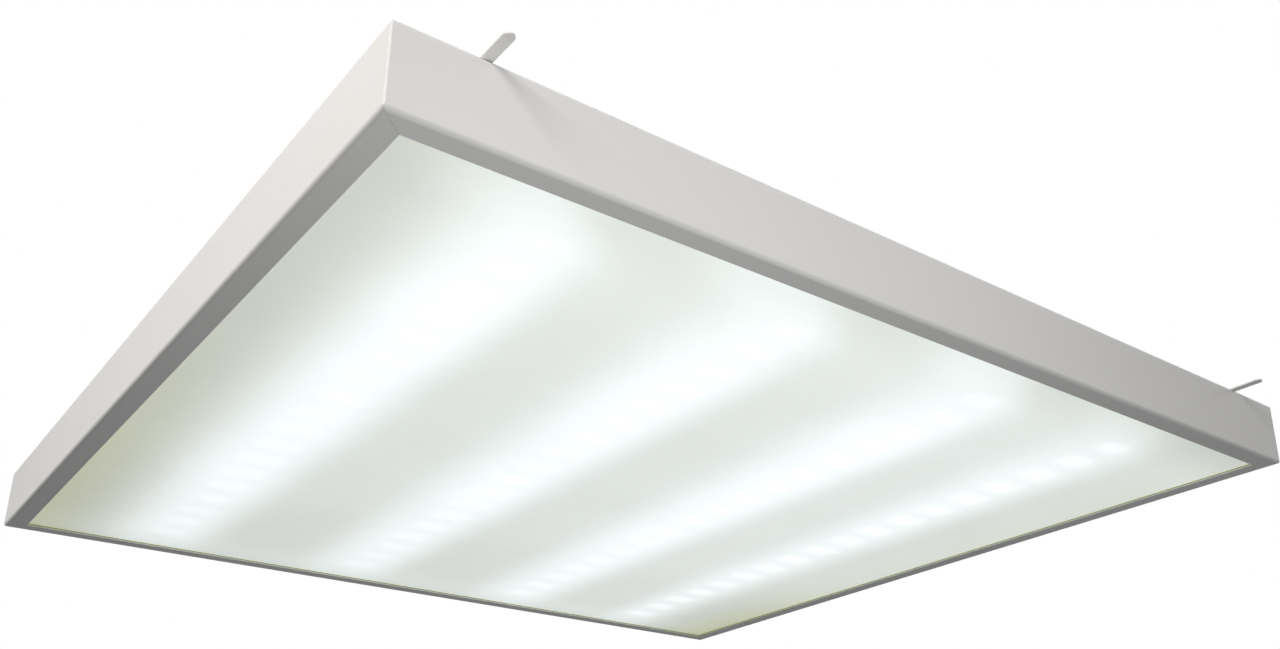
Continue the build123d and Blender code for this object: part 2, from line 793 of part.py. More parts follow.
sleeve_inner_width = choke_outer_radius - choke_inner_radius + 2 * choke_winding_gap
sleeve_inner_height = choke_height + 2 * choke_winding_gap
with BuildPart() as choke_windings:
    for turn in (0, 180):
        sleeve_plane = Plane(
            origin=choke_spot + Vector(0, 0, choke_low + choke_height / 2),
            x_dir=Vector(1, 0, 0).rotate(Axis.Z, turn - choke_winding_angle / 2),
            z_dir=Vector(0, -1, 0).rotate(Axis.Z, turn - choke_winding_angle / 2),
        )
        with BuildSketch(sleeve_plane):
            with Locations(((choke_outer_radius + choke_inner_radius) / 2, 0)):
                Rectangle(sleeve_inner_width + 2 * choke_wire, sleeve_inner_height + 2 * choke_wire)
                Rectangle(sleeve_inner_width, sleeve_inner_height, mode=Mode.SUBTRACT)
        revolve(axis=Axis(choke_spot, (0, 0, 1)), revolution_arc=choke_winding_angle)
choke_windings.part.label = "choke_windings"
export_step(choke_windings.part, "parts/choke_windings.step")


def capacitor(radius, height):
    """Can capacitor standing on the circuit board, with its rolled groove."""
    groove = circuit_top + capacitor_groove_place
    return turned(
        (radius, circuit_top, groove),
        (radius - capacitor_groove, groove, groove + capacitor_groove_height),
        (radius, groove + capacitor_groove_height, circuit_top + height),
    )


bulk_capacitor = capacitor(bulk_capacitor_radius, bulk_capacitor_height)
with BuildPart() as bulk_capacitors:
    for step in range(2):
        with Locations((bulk_capacitor_x, bulk_y - step * bulk_capacitor_pitch)):
            add(bulk_capacitor)
bulk_capacitors.part.label = "bulk_capacitors"
export_step(bulk_capacitors.part, "parts/bulk_capacitors.step")

output_capacitor = capacitor(output_capacitor_radius, output_capacitor_height)
with BuildPart() as output_capacitors:
    for step in range(2):
        with Locations((output_capacitor_x, output_capacitor_y + step * output_capacitor_pitch)):
            add(output_capacitor)
output_capacitors.part.label = "output_capacitors"
export_step(output_capacitors.part, "parts/output_capacitors.step")

with BuildPart() as film_capacitor:
    with BuildSketch(Plane.XY.offset(circuit_top)):
        with Locations((film_x, film_y)):
            Rectangle(film_width, film_depth)
    extrude(amount=film_height)
    fillet(film_capacitor.edges().filter_by(Axis.Z), rounding)
film_capacitor.part.label = "film_capacitor"
export_step(film_capacitor.part, "parts/film_capacitor.step")

with BuildPart() as heat_sink:
    with BuildSketch(Plane.XY.offset(circuit_top)):
        with Locations((sink_x, driver_place + sink_y)):
            Rectangle(sink_thickness, sink_length)
    extrude(amount=sink_height)
    with BuildSketch(Plane.XY.offset(circuit_top + sink_height - sink_thickness)):
        with Locations((sink_x - sink_foot / 2, driver_place + sink_y)):
            Rectangle(sink_foot + sink_thickness, sink_length)
    extrude(amount=sink_thickness)
heat_sink.part.label = "heat_sink"
export_step(heat_sink.part, "parts/heat_sink.step")

transistor_x = sink_x - sink_thickness / 2 - transistor_thickness / 2
with BuildPart() as power_transistors:
    with BuildSketch(Plane.XY.offset(circuit_top)):
        with Locations((transistor_x, driver_place + sink_y)):
            with GridLocations(0, transistor_pitch, 1, 2):
                Rectangle(transistor_thickness, transistor_width)
    extrude(amount=transistor_height)
power_transistors.part.label = "power_transistors"
export_step(power_transistors.part, "parts/power_transistors.step")

# ---------------------------------------------------------------- mains terminal block
with BuildPart() as terminal_insulator:
    with BuildSketch(Plane.XY.offset(body_height)):
        with Locations((0, block_place)):
            Rectangle(
                block_width + 2 * block_ear_width + 2 * insulator_margin,
                block_length + 2 * insulator_margin,
            )
        with Locations(*block_screw_spots):
            Circle(block_screw_radius + shank_clearance, mode=Mode.SUBTRACT)
    extrude(amount=insulator_thickness)
terminal_insulator.part.label = "terminal_insulator"
export_step(terminal_insulator.part, "parts/terminal_insulator.step")

chamber_back = block_place + chamber_length / 2
chamber_front = block_place - chamber_length / 2
with BuildPart() as terminal_block:
    with BuildSketch(Plane.XY.offset(block_low)):
        with Locations((0, block_place)):
            Rectangle(block_width, block_length)
    extrude(amount=block_height)
    fillet(terminal_block.edges().filter_by(Axis.Z), rounding)
    fillet(terminal_block.faces().sort_by(Axis.Z)[-1].edges(), rounding)
    with BuildSketch(Plane.XY.offset(block_low)):
        with Locations((0, block_place)):
            RectangleRounded(block_width + 2 * block_ear_width, block_ear_length, driver_corner_radius)
    extrude(amount=block_ear_height)
    with BuildSketch(Plane.XY.offset(block_low)):
        with Locations(*block_screw_spots):
            Circle(block_screw_radius + shank_clearance)
    extrude(amount=block_ear_height, mode=Mode.SUBTRACT)
    with BuildSketch(Plane.XY.offset(block_low)):
        with Locations(*[(x, block_place) for x in pole_places]):
            Rectangle(chamber_width, chamber_length)
    extrude(amount=chamber_height, mode=Mode.SUBTRACT)
    with BuildSketch(Plane.XY.offset(chamber_top)):
        with Locations(*[(x, block_place) for x in pole_places]):
            Rectangle(button_width + 2 * slide_clearance, button_length + 2 * slide_clearance)
    extrude(amount=block_top - chamber_top, mode=Mode.SUBTRACT)
    with BuildSketch(Plane(origin=(0, chamber_back, entry_axis), x_dir=(1, 0, 0), z_dir=(0, -1, 0))):
        with GridLocations(pole_pitch, 0, pole_count, 1):
            Rectangle(entry_side, entry_side)
    extrude(amount=chamber_back - block_back, mode=Mode.SUBTRACT)
    with BuildSketch(Plane(origin=(0, block_front, entry_axis), x_dir=(1, 0, 0), z_dir=(0, -1, 0))):
        with GridLocations(pole_pitch, 0, pole_count, 1):
            Circle(lead_entry_radius)
    extrude(amount=block_front - chamber_front, mode=Mode.SUBTRACT)
terminal_block.part.label = "terminal_block"
export_step(terminal_block.part, "parts/terminal_block.step")

clamp_height = chamber_height - button_flange_height - button_travel - 3 * clamp_gap
clamp_low = block_low
clamp_front = block_place - clamp_length / 2
with BuildPart() as terminal_clamps:
    for x in pole_places:
        with BuildSketch(Plane.YZ.offset(x - clamp_width / 2)):
            with Locations((block_place, clamp_low + clamp_height / 2)):
                Rectangle(clamp_length, clamp_height)
                Rectangle(clamp_length, clamp_height - 2 * clamp_strip, mode=Mode.SUBTRACT)
            with Locations((clamp_front + clamp_strip / 2, clamp_low + clamp_height / 2)):
                Rectangle(clamp_strip, clamp_height)
        extrude(amount=clamp_width)
        # The driver-side lead passes the clamp's closed end through its own hole.
        with BuildSketch(Plane.XZ.offset(-clamp_front)):
            with Locations((x, entry_axis)):
                Circle(lead_entry_radius)
        extrude(amount=-clamp_strip, mode=Mode.SUBTRACT)
terminal_clamps.part.label = "terminal_clamps"
export_step(terminal_clamps.part, "parts/terminal_clamps.step")

button_names = ("live", "neutral", "earth")
button_foot = chamber_top - slide_clearance - button_flange_height
for name, x in zip(button_names, pole_places):
    with BuildPart() as release_button:
        with BuildSketch(Plane.XY.offset(button_foot)):
            with Locations((x, block_place)):
                Rectangle(button_width + 2 * button_flange, button_length + 2 * button_flange)
        extrude(amount=button_flange_height)
        with BuildSketch(Plane.XY.offset(button_foot)):
            with Locations((x, block_place)):
                Rectangle(button_width, button_length)
        extrude(amount=block_top + button_proud - button_foot)
        fillet(release_button.faces().sort_by(Axis.Z)[-1].edges(), rounding)
        with BuildSketch(Plane.XY.offset(block_top + button_proud)):
            with Locations((x, block_place)):
                Circle(button_dimple_radius)
        extrude(amount=-button_dimple_depth, mode=Mode.SUBTRACT)
    release_button.part.label = f"release_button_{name}"
    export_step(release_button.part, f"parts/release_button_{name}.step")

block_screw = pan_screw(
    block_low + block_ear_height,
    block_screw_head_radius,
    block_screw_head_height,
    block_screw_radius,
    block_screw_length,
)
with BuildPart() as terminal_screws:
    with Locations(*block_screw_spots):
        add(block_screw)
terminal_screws.part.label = "terminal_screws"
export_step(terminal_screws.part, "parts/terminal_screws.step")

# ---------------------------------------------------------------- earth point
lug_top = body_height + lug_sheet
barrel_axis = body_height + barrel_radius
barrel_start = earth_x - earth_washer_radius - barrel_gap - barrel_length
with BuildPart() as earth_lug:
    with BuildSketch(Plane.XY.offset(body_height)):
        with Locations((earth_x, earth_y)):
            Circle(lug_radius)
        with Locations(((barrel_start + barrel_length + earth_x) / 2, earth_y)):
            Rectangle(earth_x - barrel_start - barrel_length, 2 * barrel_radius)
        with Locations((earth_x, earth_y)):
            Circle(earth_screw_radius + shank_clearance, mode=Mode.SUBTRACT)
    extrude(amount=lug_sheet)
    with BuildSketch(Plane(origin=(barrel_start, earth_y, barrel_axis), z_dir=(1, 0, 0))):
        Circle(barrel_radius)
    extrude(amount=barrel_length)
    with BuildSketch(Plane(origin=(barrel_start, earth_y, barrel_axis), z_dir=(1, 0, 0))):
        Circle(lead_diameter / 2 + clip_play)
    extrude(amount=lead_entry_depth, mode=Mode.SUBTRACT)
earth_lug.part.label = "earth_lug"
export_step(earth_lug.part, "parts/earth_lug.step")

with BuildPart() as earth_washer:
    with BuildSketch(Plane.XY.offset(lug_top)):
        with Locations((earth_x, earth_y)):
            Circle(earth_washer_radius)
            Circle(earth_screw_radius + shank_clearance, mode=Mode.SUBTRACT)
    extrude(amount=earth_washer_thickness)
earth_washer.part.label = "earth_washer"
export_step(earth_washer.part, "parts/earth_washer.step")

earth_screw_shape = pan_screw(
    lug_top + earth_washer_thickness,
    earth_head_radius,
    earth_head_height,
    earth_screw_radius,
    earth_screw_length,
)
with BuildPart() as earth_screw:
    with Locations((earth_x, earth_y)):
        add(earth_screw_shape)
earth_screw.part.label = "earth_screw"
export_step(earth_screw.part, "parts/earth_screw.step")

with BuildPart() as earth_nut:
    with BuildSketch(Plane.XY.offset(cover_low)):
        with Locations((earth_x, earth_y)):
            RegularPolygon(earth_nut_flats / 2, 6, major_radius=False)
            Circle(earth_screw_radius + running_clearance, mode=Mode.SUBTRACT)
    extrude(amount=-earth_nut_height)
earth_nut.part.label = "earth_nut"
export_step(earth_nut.part, "parts/earth_nut.step")

# ---------------------------------------------------------------- leads
# Each route is a list of points chosen by hand; the arcs' radii follow it.
lead_stop = connector_face - lead_entry_depth
short_lane = wall_inner - short_lane_gap
long_lane = wall_inner - long_lane_gap
output_lane = wall_inner - output_lane_gap
output_stop = output_face + lead_entry_depth
input_stop = input_face - lead_entry_depth
block_stop = block_front + lead_entry_depth
under_dip = cover_low - under_dip_depth
under_dip_end = grommet_place - under_dip_run
under_rise_end = under_dip_end - under_rise_run
feed_bend = block_front - feed_straight
feed_end = feed_bend - feed_slope

lead_routes = {
    "jumper_lead_1": (
        [
            (-strip_outer_place, lead_stop, connector_axis),
            (-strip_outer_place, short_lane, connector_axis),
            (-strip_inner_place, short_lane, connector_axis),
            (-strip_inner_place, lead_stop, connector_axis),
        ],
        [lead_bend, lead_bend],
    ),
    "jumper_lead_2": (
        [
            (-strip_outer_place, -lead_stop, connector_axis),
            (-strip_outer_place, -long_lane, connector_axis),
            (strip_outer_place, -long_lane, connector_axis),
            (strip_outer_place, -lead_stop, connector_axis),
        ],
        [lead_bend, lead_bend],
    ),
    "jumper_lead_3": (
        [
            (strip_outer_place, lead_stop, connector_axis),
            (strip_outer_place, short_lane, connector_axis),
            (strip_inner_place, short_lane, connector_axis),
            (strip_inner_place, lead_stop, connector_axis),
        ],
        [lead_bend, lead_bend],
    ),
    "output_lead_plus": (
        [
            (-output_lead_offset, output_stop, terminal_axis),
            (-output_lead_offset, grommet_place, terminal_axis),
            (-output_lead_offset, grommet_place, under_dip),
            (-output_lead_offset, under_dip_end, under_dip),
            (-output_lead_offset, under_rise_end, connector_axis),
            (-output_lead_offset, -output_lane, connector_axis),
            (-strip_inner_place, -output_lane, connector_axis),
            (-strip_inner_place, -lead_stop, connector_axis),
        ],
        [7.5, 7.5, 90.0, 90.0, lead_bend, lead_bend],
    ),
    "output_lead_minus": (
        [
            (output_lead_offset, output_stop, terminal_axis),
            (output_lead_offset, grommet_place, terminal_axis),
            (output_lead_offset, grommet_place, under_dip),
            (output_lead_offset, under_dip_end, under_dip),
            (output_lead_offset, under_rise_end, connector_axis),
            (output_lead_offset, -output_lane, connector_axis),
            (strip_inner_place, -output_lane, connector_axis),
            (strip_inner_place, -lead_stop, connector_axis),
        ],
        [7.5, 7.5, 90.0, 90.0, lead_bend, lead_bend],
    ),
    "live_lead": (
        [
            (pole_places[0], block_stop, entry_axis),
            (pole_places[0], feed_bend, entry_axis),
            (-input_pitch / 2, feed_end, terminal_axis),
            (-input_pitch / 2, input_stop, terminal_axis),
        ],
        [28.0, 28.0],
    ),
    "neutral_lead": (
        [
            (pole_places[1], block_stop, entry_axis),
            (pole_places[1], feed_bend, entry_axis),
            (input_pitch / 2, feed_end, terminal_axis),
            (input_pitch / 2, input_stop, terminal_axis),
        ],
        [30.0, 30.0],
    ),
    "earth_lead": (
        [
            (pole_places[2], block_stop, entry_axis),
            (pole_places[2], block_front - earth_straight, entry_axis),
            (pole_places[2], earth_y, barrel_axis),
            (barrel_start + lead_entry_depth, earth_y, barrel_axis),
        ],
        [30.0, 7.0],
    ),
}

for name, (points, radii) in lead_routes.items():
    lead_piece = lead(points, radii)
    lead_piece.label = name
    export_step(lead_piece, f"parts/{name}.step")
    print(name, "radii", radii, "volume", round(lead_piece.volume, 1))

# ---------------------------------------------------------------- lead clips
clip_bore = lead_diameter / 2 + clip_play
clip_outer = clip_bore + clip_wall
clip_along_x = [
    (-(strip_inner_place + strip_outer_place) / 2, short_lane),
    ((strip_inner_place + strip_outer_place) / 2, short_lane),
    (-bead_inner_place, -long_lane),
    (0, -long_lane),
    (bead_inner_place, -long_lane),
]
clip_along_y = (0, grommet_place - twin_clip_run)
with BuildPart() as clip:
    with BuildSketch(Plane.XY.offset(cover_low)):
        Rectangle(clip_pad, clip_pad)
    extrude(amount=-clip_pad_thickness)
    with BuildSketch(Plane.YZ.offset(-clip_length / 2)):
        with Locations((0, connector_axis)):
            Circle(clip_outer)
        with Locations((0, (connector_axis + cover_low - clip_pad_thickness) / 2)):
            Rectangle(clip_outer, cover_low - clip_pad_thickness - connector_axis)
        with Locations((0, connector_axis)):
            Circle(clip_bore, mode=Mode.SUBTRACT)
    extrude(amount=clip_length)
with BuildPart() as twin_clip:
    with BuildSketch(Plane.XY.offset(cover_low)):
        Rectangle(clip_pad + 2 * output_lead_offset, clip_pad)
    extrude(amount=-clip_pad_thickness)
    with BuildSketch(Plane.XZ.offset(-clip_length / 2)):
        with Locations((0, connector_axis)):
            SlotCenterToCenter(2 * output_lead_offset, 2 * clip_outer)
        with Locations((0, (connector_axis + cover_low - clip_pad_thickness) / 2)):
            Rectangle(2 * output_lead_offset, cover_low - clip_pad_thickness - connector_axis)
        with Locations((-output_lead_offset, connector_axis), (output_lead_offset, connector_axis)):
            Circle(clip_bore, mode=Mode.SUBTRACT)
    extrude(amount=clip_length)
with BuildPart() as lead_clips:
    with Locations(*clip_along_x):
        add(clip.part)
    with Locations(clip_along_y):
        add(twin_clip.part)
lead_clips.part.label = "lead_clips"
export_step(lead_clips.part, "parts/lead_clips.step")
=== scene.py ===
"""Looks of a square lay-in ceiling light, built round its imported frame.

The light hangs with its lit side down, as in its ceiling: a white powder-coated steel
housing, an opal sheet with four rows of light points behind it, and a driver and a mains
terminal on top of its cover. Lengths are in metres where nothing says millimetres.
"""

import json
import logging
import math
from dataclasses import dataclass, field
from enum import Enum

import bpy
import numpy as np
from mathutils import Matrix, Vector


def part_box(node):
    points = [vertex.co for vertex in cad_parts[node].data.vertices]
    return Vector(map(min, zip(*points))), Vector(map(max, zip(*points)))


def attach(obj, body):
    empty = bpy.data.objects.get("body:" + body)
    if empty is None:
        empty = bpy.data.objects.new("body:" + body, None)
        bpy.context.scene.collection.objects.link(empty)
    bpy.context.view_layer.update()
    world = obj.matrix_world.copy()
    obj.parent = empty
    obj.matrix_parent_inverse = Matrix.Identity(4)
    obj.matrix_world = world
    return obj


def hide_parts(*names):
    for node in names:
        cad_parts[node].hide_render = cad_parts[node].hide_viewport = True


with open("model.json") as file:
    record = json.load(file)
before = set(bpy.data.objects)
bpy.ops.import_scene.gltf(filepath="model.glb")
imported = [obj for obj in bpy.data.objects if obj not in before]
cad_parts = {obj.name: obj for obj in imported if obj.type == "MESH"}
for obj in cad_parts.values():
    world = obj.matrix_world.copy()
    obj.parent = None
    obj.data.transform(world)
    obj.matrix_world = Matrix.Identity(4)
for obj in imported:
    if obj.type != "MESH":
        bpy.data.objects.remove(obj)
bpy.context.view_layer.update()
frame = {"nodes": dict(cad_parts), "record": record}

log = logging.getLogger("ceiling_light")

MM = 0.001
MAIN_BODY = "luminaire"
STRIPS = (1, 2, 3, 4)  # numbers of the light strips, towards +X
LIGHT_PITCH = 29.3  # pitch of the light points along a strip, in millimetres
ROW_DRIFTS = (-5.0, 5.0, 5.0, -5.0)  # from each strip to its bright line, in millimetres

Colour = tuple[float, float, float]
Opaque = tuple[float, float, float, float]
Socket = bpy.types.NodeSocket
Value = Socket | float | tuple[float, ...]

WHITE: Opaque = (1.0, 1.0, 1.0, 1.0)
BLACK: Opaque = (0.0, 0.0, 0.0, 1.0)


class Space(Enum):
    """What a pattern reads: a piece's own coordinates, or its own normal."""

    OBJECT = "Object"
    NORMAL = "Normal"


class SocketKind(Enum):
    """The kinds of value that a shared effect takes or gives."""

    NUMBER = "NodeSocketFloat"
    VECTOR = "NodeSocketVector"


class CellPart(Enum):
    """What is read from a cell pattern, by the number of the node's output."""

    DISTANCE = 0
    COLOUR = 1


class Pole(Enum):
    """The poles of the mains. Each has a lead, and a clamp with its release button."""

    LIVE = "live"
    NEUTRAL = "neutral"
    EARTH = "earth"


# ------------------------------------------------------------------ shader writing
class Canvas:
    """Writes a shader node tree as nested calls, each of which gives an output socket.

    Args:
        tree: the node tree of a material, a world or a node group.
    """

    def __init__(self, tree: bpy.types.NodeTree) -> None:
        """Keeps the tree that the calls write into."""
        self.tree = tree

    def feed(self, target: Socket, value: Value) -> None:
        """Links an output socket to an input, or sets the input's own value.

        Args:
            target: the input socket.
            value: an output socket, a number, a vector or a colour.
        """
        if isinstance(value, bpy.types.NodeSocket):
            self.tree.links.new(value, target)
        else:
            target.default_value = value

    def add(self, kind: str, **settings: object) -> bpy.types.Node:
        """Adds a node.

        Args:
            kind: the node's type name.
            settings: the node's own properties, such as its operation.

        Returns:
            The node.
        """
        node = self.tree.nodes.new(kind)
        for name, value in settings.items():
            setattr(node, name, value)
        return node

    def math(self, operation: str, *values: Value) -> Socket:
        """Sum, product or other function of numbers.

        Args:
            operation: the Math node's operation.
            values: its inputs, each a number or a socket.

        Returns:
            The result.
        """
        node = self.add("ShaderNodeMath", operation=operation)
        for target, value in zip(node.inputs, values):
            self.feed(target, value)
        return node.outputs[0]

    def product(self, *values: Value) -> Socket:
        """Product of two or more numbers or sockets.

        Args:
            values: the numbers or sockets.

        Returns:
            Their product.
        """
        result = values[0]
        for value in values[1:]:
            result = self.math("MULTIPLY", result, value)
        return result

    def total(self, *values: Value) -> Socket:
        """Sum of two or more numbers or sockets.

        Args:
            values: the numbers or sockets.

        Returns:
            Their sum.
        """
        result = values[0]
        for value in values[1:]:
            result = self.math("ADD", result, value)
        return result

    def vector(self, operation: str, *values: Value) -> Socket:
        """Function of vectors.

        Args:
            operation: the Vector Math node's operation.
            values: its inputs, each a vector or a socket.

        Returns:
            The result: a number for a dot product or a length, or else a vector.
        """
        node = self.add("ShaderNodeVectorMath", operation=operation)
        for target, value in zip(node.inputs, values):
            self.feed(target, value)
        return node.outputs["Value" if operation in ("DOT_PRODUCT", "LENGTH") else "Vector"]

    def step(
        self, value: Value, low: float, high: float, start: float = 0.0, end: float = 1.0
    ) -> Socket:
        """Smooth step: start below low, end above high, and a smooth curve between.

        Args:
            value: the number that is judged.
            low: where the step starts.
            high: where it ends, above low.
            start: the result at low.
            end: the result at high.

        Returns:
            The result.
        """
        node = self.add("ShaderNodeMapRange", interpolation_type="SMOOTHSTEP")
        names = ("Value", "From Min", "From Max", "To Min", "To Max")
        for name, number in zip(names, (value, low, high, start, end)):
            self.feed(node.inputs[name], number)
        return node.outputs[0]

    def bell(self, distance: Value, width: Value, power: float) -> Socket:
        """Bell curve: e to the power of minus (distance over width) to a power.

        Args:
            distance: the distance from the bell's middle, on either side.
            width: the distance at which it has fallen to 37 %.
            power: 2 for a round top, more for a flatter one with steeper sides.

        Returns:
            The bell, from 0 to 1.
        """
        share = self.math("ABSOLUTE", self.math("DIVIDE", distance, width))
        return self.math("POWER", math.exp(-1.0), self.math("POWER", share, power))

    def mix(self, share: Value, first: Value, second: Value) -> Socket:
        """Mix of two colours.

        Args:
            share: 0 for the first colour, 1 for the second.
            first: the first colour.
            second: the second colour.

        Returns:
            The mixed colour.
        """
        node = self.add("ShaderNodeMix", data_type="RGBA")
        share_input, first_input, second_input, result = 0, 6, 7, 2
        self.feed(node.inputs[share_input], share)
        self.feed(node.inputs[first_input], first)
        self.feed(node.inputs[second_input], second)
        return node.outputs[result]

    def noise(self, where: Socket, scale: Value, detail: float) -> Socket:
        """Cloudy noise around 0.5.

        Args:
            where: the coordinates it reads.
            scale: patches per metre.
            detail: how many finer layers it has.

        Returns:
            The noise.
        """
        node = self.add("ShaderNodeTexNoise")
        for name, value in (("Vector", where), ("Scale", scale), ("Detail", detail)):
            self.feed(node.inputs[name], value)
        return node.outputs[0]

    def cells(self, where: Socket, scale: float, part: CellPart, **settings: str) -> Socket:
        """Cell pattern.

        Args:
            where: the coordinates it reads.
            scale: cells per metre.
            part: what is read from it.
            settings: the Voronoi node's own properties.

        Returns:
            The distance, or the colour of each cell.
        """
        node = self.add("ShaderNodeTexVoronoi", **settings)
        self.feed(node.inputs["Vector"], where)
        self.feed(node.inputs["Scale"], scale)
        return node.outputs[part.value]

    def place(self, space: Space = Space.OBJECT) -> Socket:
        """The piece's own coordinates, or its own normal."""
        return self.add("ShaderNodeTexCoord").outputs[space.value]

    def parts(self, vector: Socket) -> tuple[Socket, ...]:
        """Takes a vector apart.

        Args:
            vector: the vector.

        Returns:
            Its X, Y and Z.
        """
        node = self.add("ShaderNodeSeparateXYZ")
        self.feed(node.inputs[0], vector)
        return tuple(node.outputs)

    def bump(self, height: Socket, depth: float) -> Socket:
        """Normal of a surface that a height pattern disturbs.

        Args:
            height: the pattern, from 0 to 1.
            depth: the height in metres that 1 stands for.

        Returns:
            The normal.
        """
        node = self.add("ShaderNodeBump")
        self.feed(node.inputs["Height"], height)
        self.feed(node.inputs["Distance"], depth)
        self.feed(node.inputs["Strength"], 1.0)
        return node.outputs[0]

    def effect(self, name: str, **values: Value) -> bpy.types.Node:
        """Places a shared effect, which is a node group, with its own values.

        Args:
            name: the group's name.
            values: the group's inputs, with _ for a space in their names.

        Returns:
            The group node, whose outputs are the effect's results.
        """
        node = self.add("ShaderNodeGroup", node_tree=bpy.data.node_groups[name])
        for key, value in values.items():
            self.feed(node.inputs[key.replace("_", " ")], value)
        return node


def start_effect(
    name: str, inputs: dict[str, SocketKind], outputs: tuple[str, ...]
) -> tuple[Canvas, bpy.types.NodeOutputs, bpy.types.NodeInputs]:
    """Starts a node group for an effect that several materials share.

    Args:
        name: the group's name.
        inputs: each input's name and kind.
        outputs: the names of its outputs, which are numbers.

    Returns:
        The group's canvas, what it is given, and the inputs that take its results.
    """
    tree = bpy.data.node_groups.new(name, "ShaderNodeTree")
    for label, kind in inputs.items():
        tree.interface.new_socket(name=label, in_out="INPUT", socket_type=kind.value)
    for label in outputs:
        number = SocketKind.NUMBER.value
        tree.interface.new_socket(name=label, in_out="OUTPUT", socket_type=number)
    canvas = Canvas(tree)
    given = canvas.add("NodeGroupInput").outputs
    return canvas, given, canvas.add("NodeGroupOutput").inputs


def build_grain() -> None:
    """Builds the grain: fine noise over a coarser one, as paint levels or a mould is etched."""
    coarse_scale, coarse_weight = 0.31, 0.6
    noise_low, noise_high = 0.35, 0.65  # where the tone has its darkest and its lightest
    canvas, given, result = start_effect(
        "grain", {"Place": SocketKind.VECTOR, "Grains": SocketKind.NUMBER}, ("Height", "Tone")
    )
    fine = canvas.noise(given["Place"], given["Grains"], 1.0)
    coarse = canvas.noise(given["Place"], canvas.product(given["Grains"], coarse_scale), 0.0)
    fine_part = canvas.product(fine, 1.0 - coarse_weight)
    canvas.feed(result["Height"], canvas.math("MULTIPLY_ADD", coarse, coarse_weight, fine_part))
    canvas.feed(result["Tone"], canvas.step(fine, noise_low, noise_high, -1.0, 1.0))


def build_drift() -> None:
    """Builds the drift: a slow change of shade, and the drawn-out trace of handling."""
    noise_low, noise_high = 0.3, 0.7  # where the tone has its darkest and its lightest
    smear_low, smear_high = 0.5, 0.75  # from no smear to a full one
    smear_scale, smear_stretch = 4.0, (1.0, 3.1, 2.3)
    canvas, given, result = start_effect(
        "drift", {"Place": SocketKind.VECTOR, "Patches": SocketKind.NUMBER}, ("Tone", "Smear")
    )
    slow = canvas.noise(given["Place"], given["Patches"], 3.0)
    canvas.feed(result["Tone"], canvas.step(slow, noise_low, noise_high, -1.0, 1.0))
    drawn = canvas.vector("MULTIPLY", given["Place"], smear_stretch)
    wiped = canvas.noise(drawn, canvas.product(given["Patches"], smear_scale), 4.0)
    canvas.feed(result["Smear"], canvas.step(wiped, smear_low, smear_high))


def build_edge_wear() -> None:
    """Builds the edge wear: a broken line where a rounded normal leaves the true one."""
    breaks_per_metre = 260.0
    bend_low, bend_high = 0.02, 0.25  # 1 less the cosine between the two normals
    break_low, break_high = 0.42, 0.62
    canvas, given, result = start_effect(
        "edge wear", {"Place": SocketKind.VECTOR, "Reach": SocketKind.NUMBER}, ("Mask",)
    )
    rounded = canvas.add("ShaderNodeBevel", samples=4)
    canvas.feed(rounded.inputs["Radius"], given["Reach"])
    true_normal = canvas.add("ShaderNodeNewGeometry").outputs["Normal"]
    level = canvas.vector("DOT_PRODUCT", rounded.outputs[0], true_normal)
    edge = canvas.step(canvas.math("SUBTRACT", 1.0, level), bend_low, bend_high)
    broken = canvas.noise(given["Place"], breaks_per_metre, 3.0)
    broken = canvas.step(broken, break_low, break_high)
    canvas.feed(result["Mask"], canvas.product(edge, broken))


def build_dust() -> None:
    """Builds the dust: soft patches with single specks, on what faces up."""
    upright_low, upright_high = 0.5, 1.0  # the Z of a normal, from a slope to a level face
    patches_per_metre, patch_low, patch_high, patch_share = 22.0, 0.35, 0.75, 0.55
    specks_per_metre, speck_radius, speck_share = 420.0, 0.16, 0.8
    canvas, given, result = start_effect("dust", {"Place": SocketKind.VECTOR}, ("Mask",))
    upright = canvas.parts(canvas.place(Space.NORMAL))[2]
    facing = canvas.step(upright, upright_low, upright_high)
    patches = canvas.noise(given["Place"], patches_per_metre, 4.0)
    patches = canvas.step(patches, patch_low, patch_high)
    distance = canvas.cells(given["Place"], specks_per_metre, CellPart.DISTANCE)
    specks = canvas.step(distance, 0.0, speck_radius, 1.0, 0.0)
    both = canvas.math(
        "MAXIMUM", canvas.product(patches, patch_share), canvas.product(specks, speck_share)
    )
    canvas.feed(result["Mask"], canvas.product(facing, both))


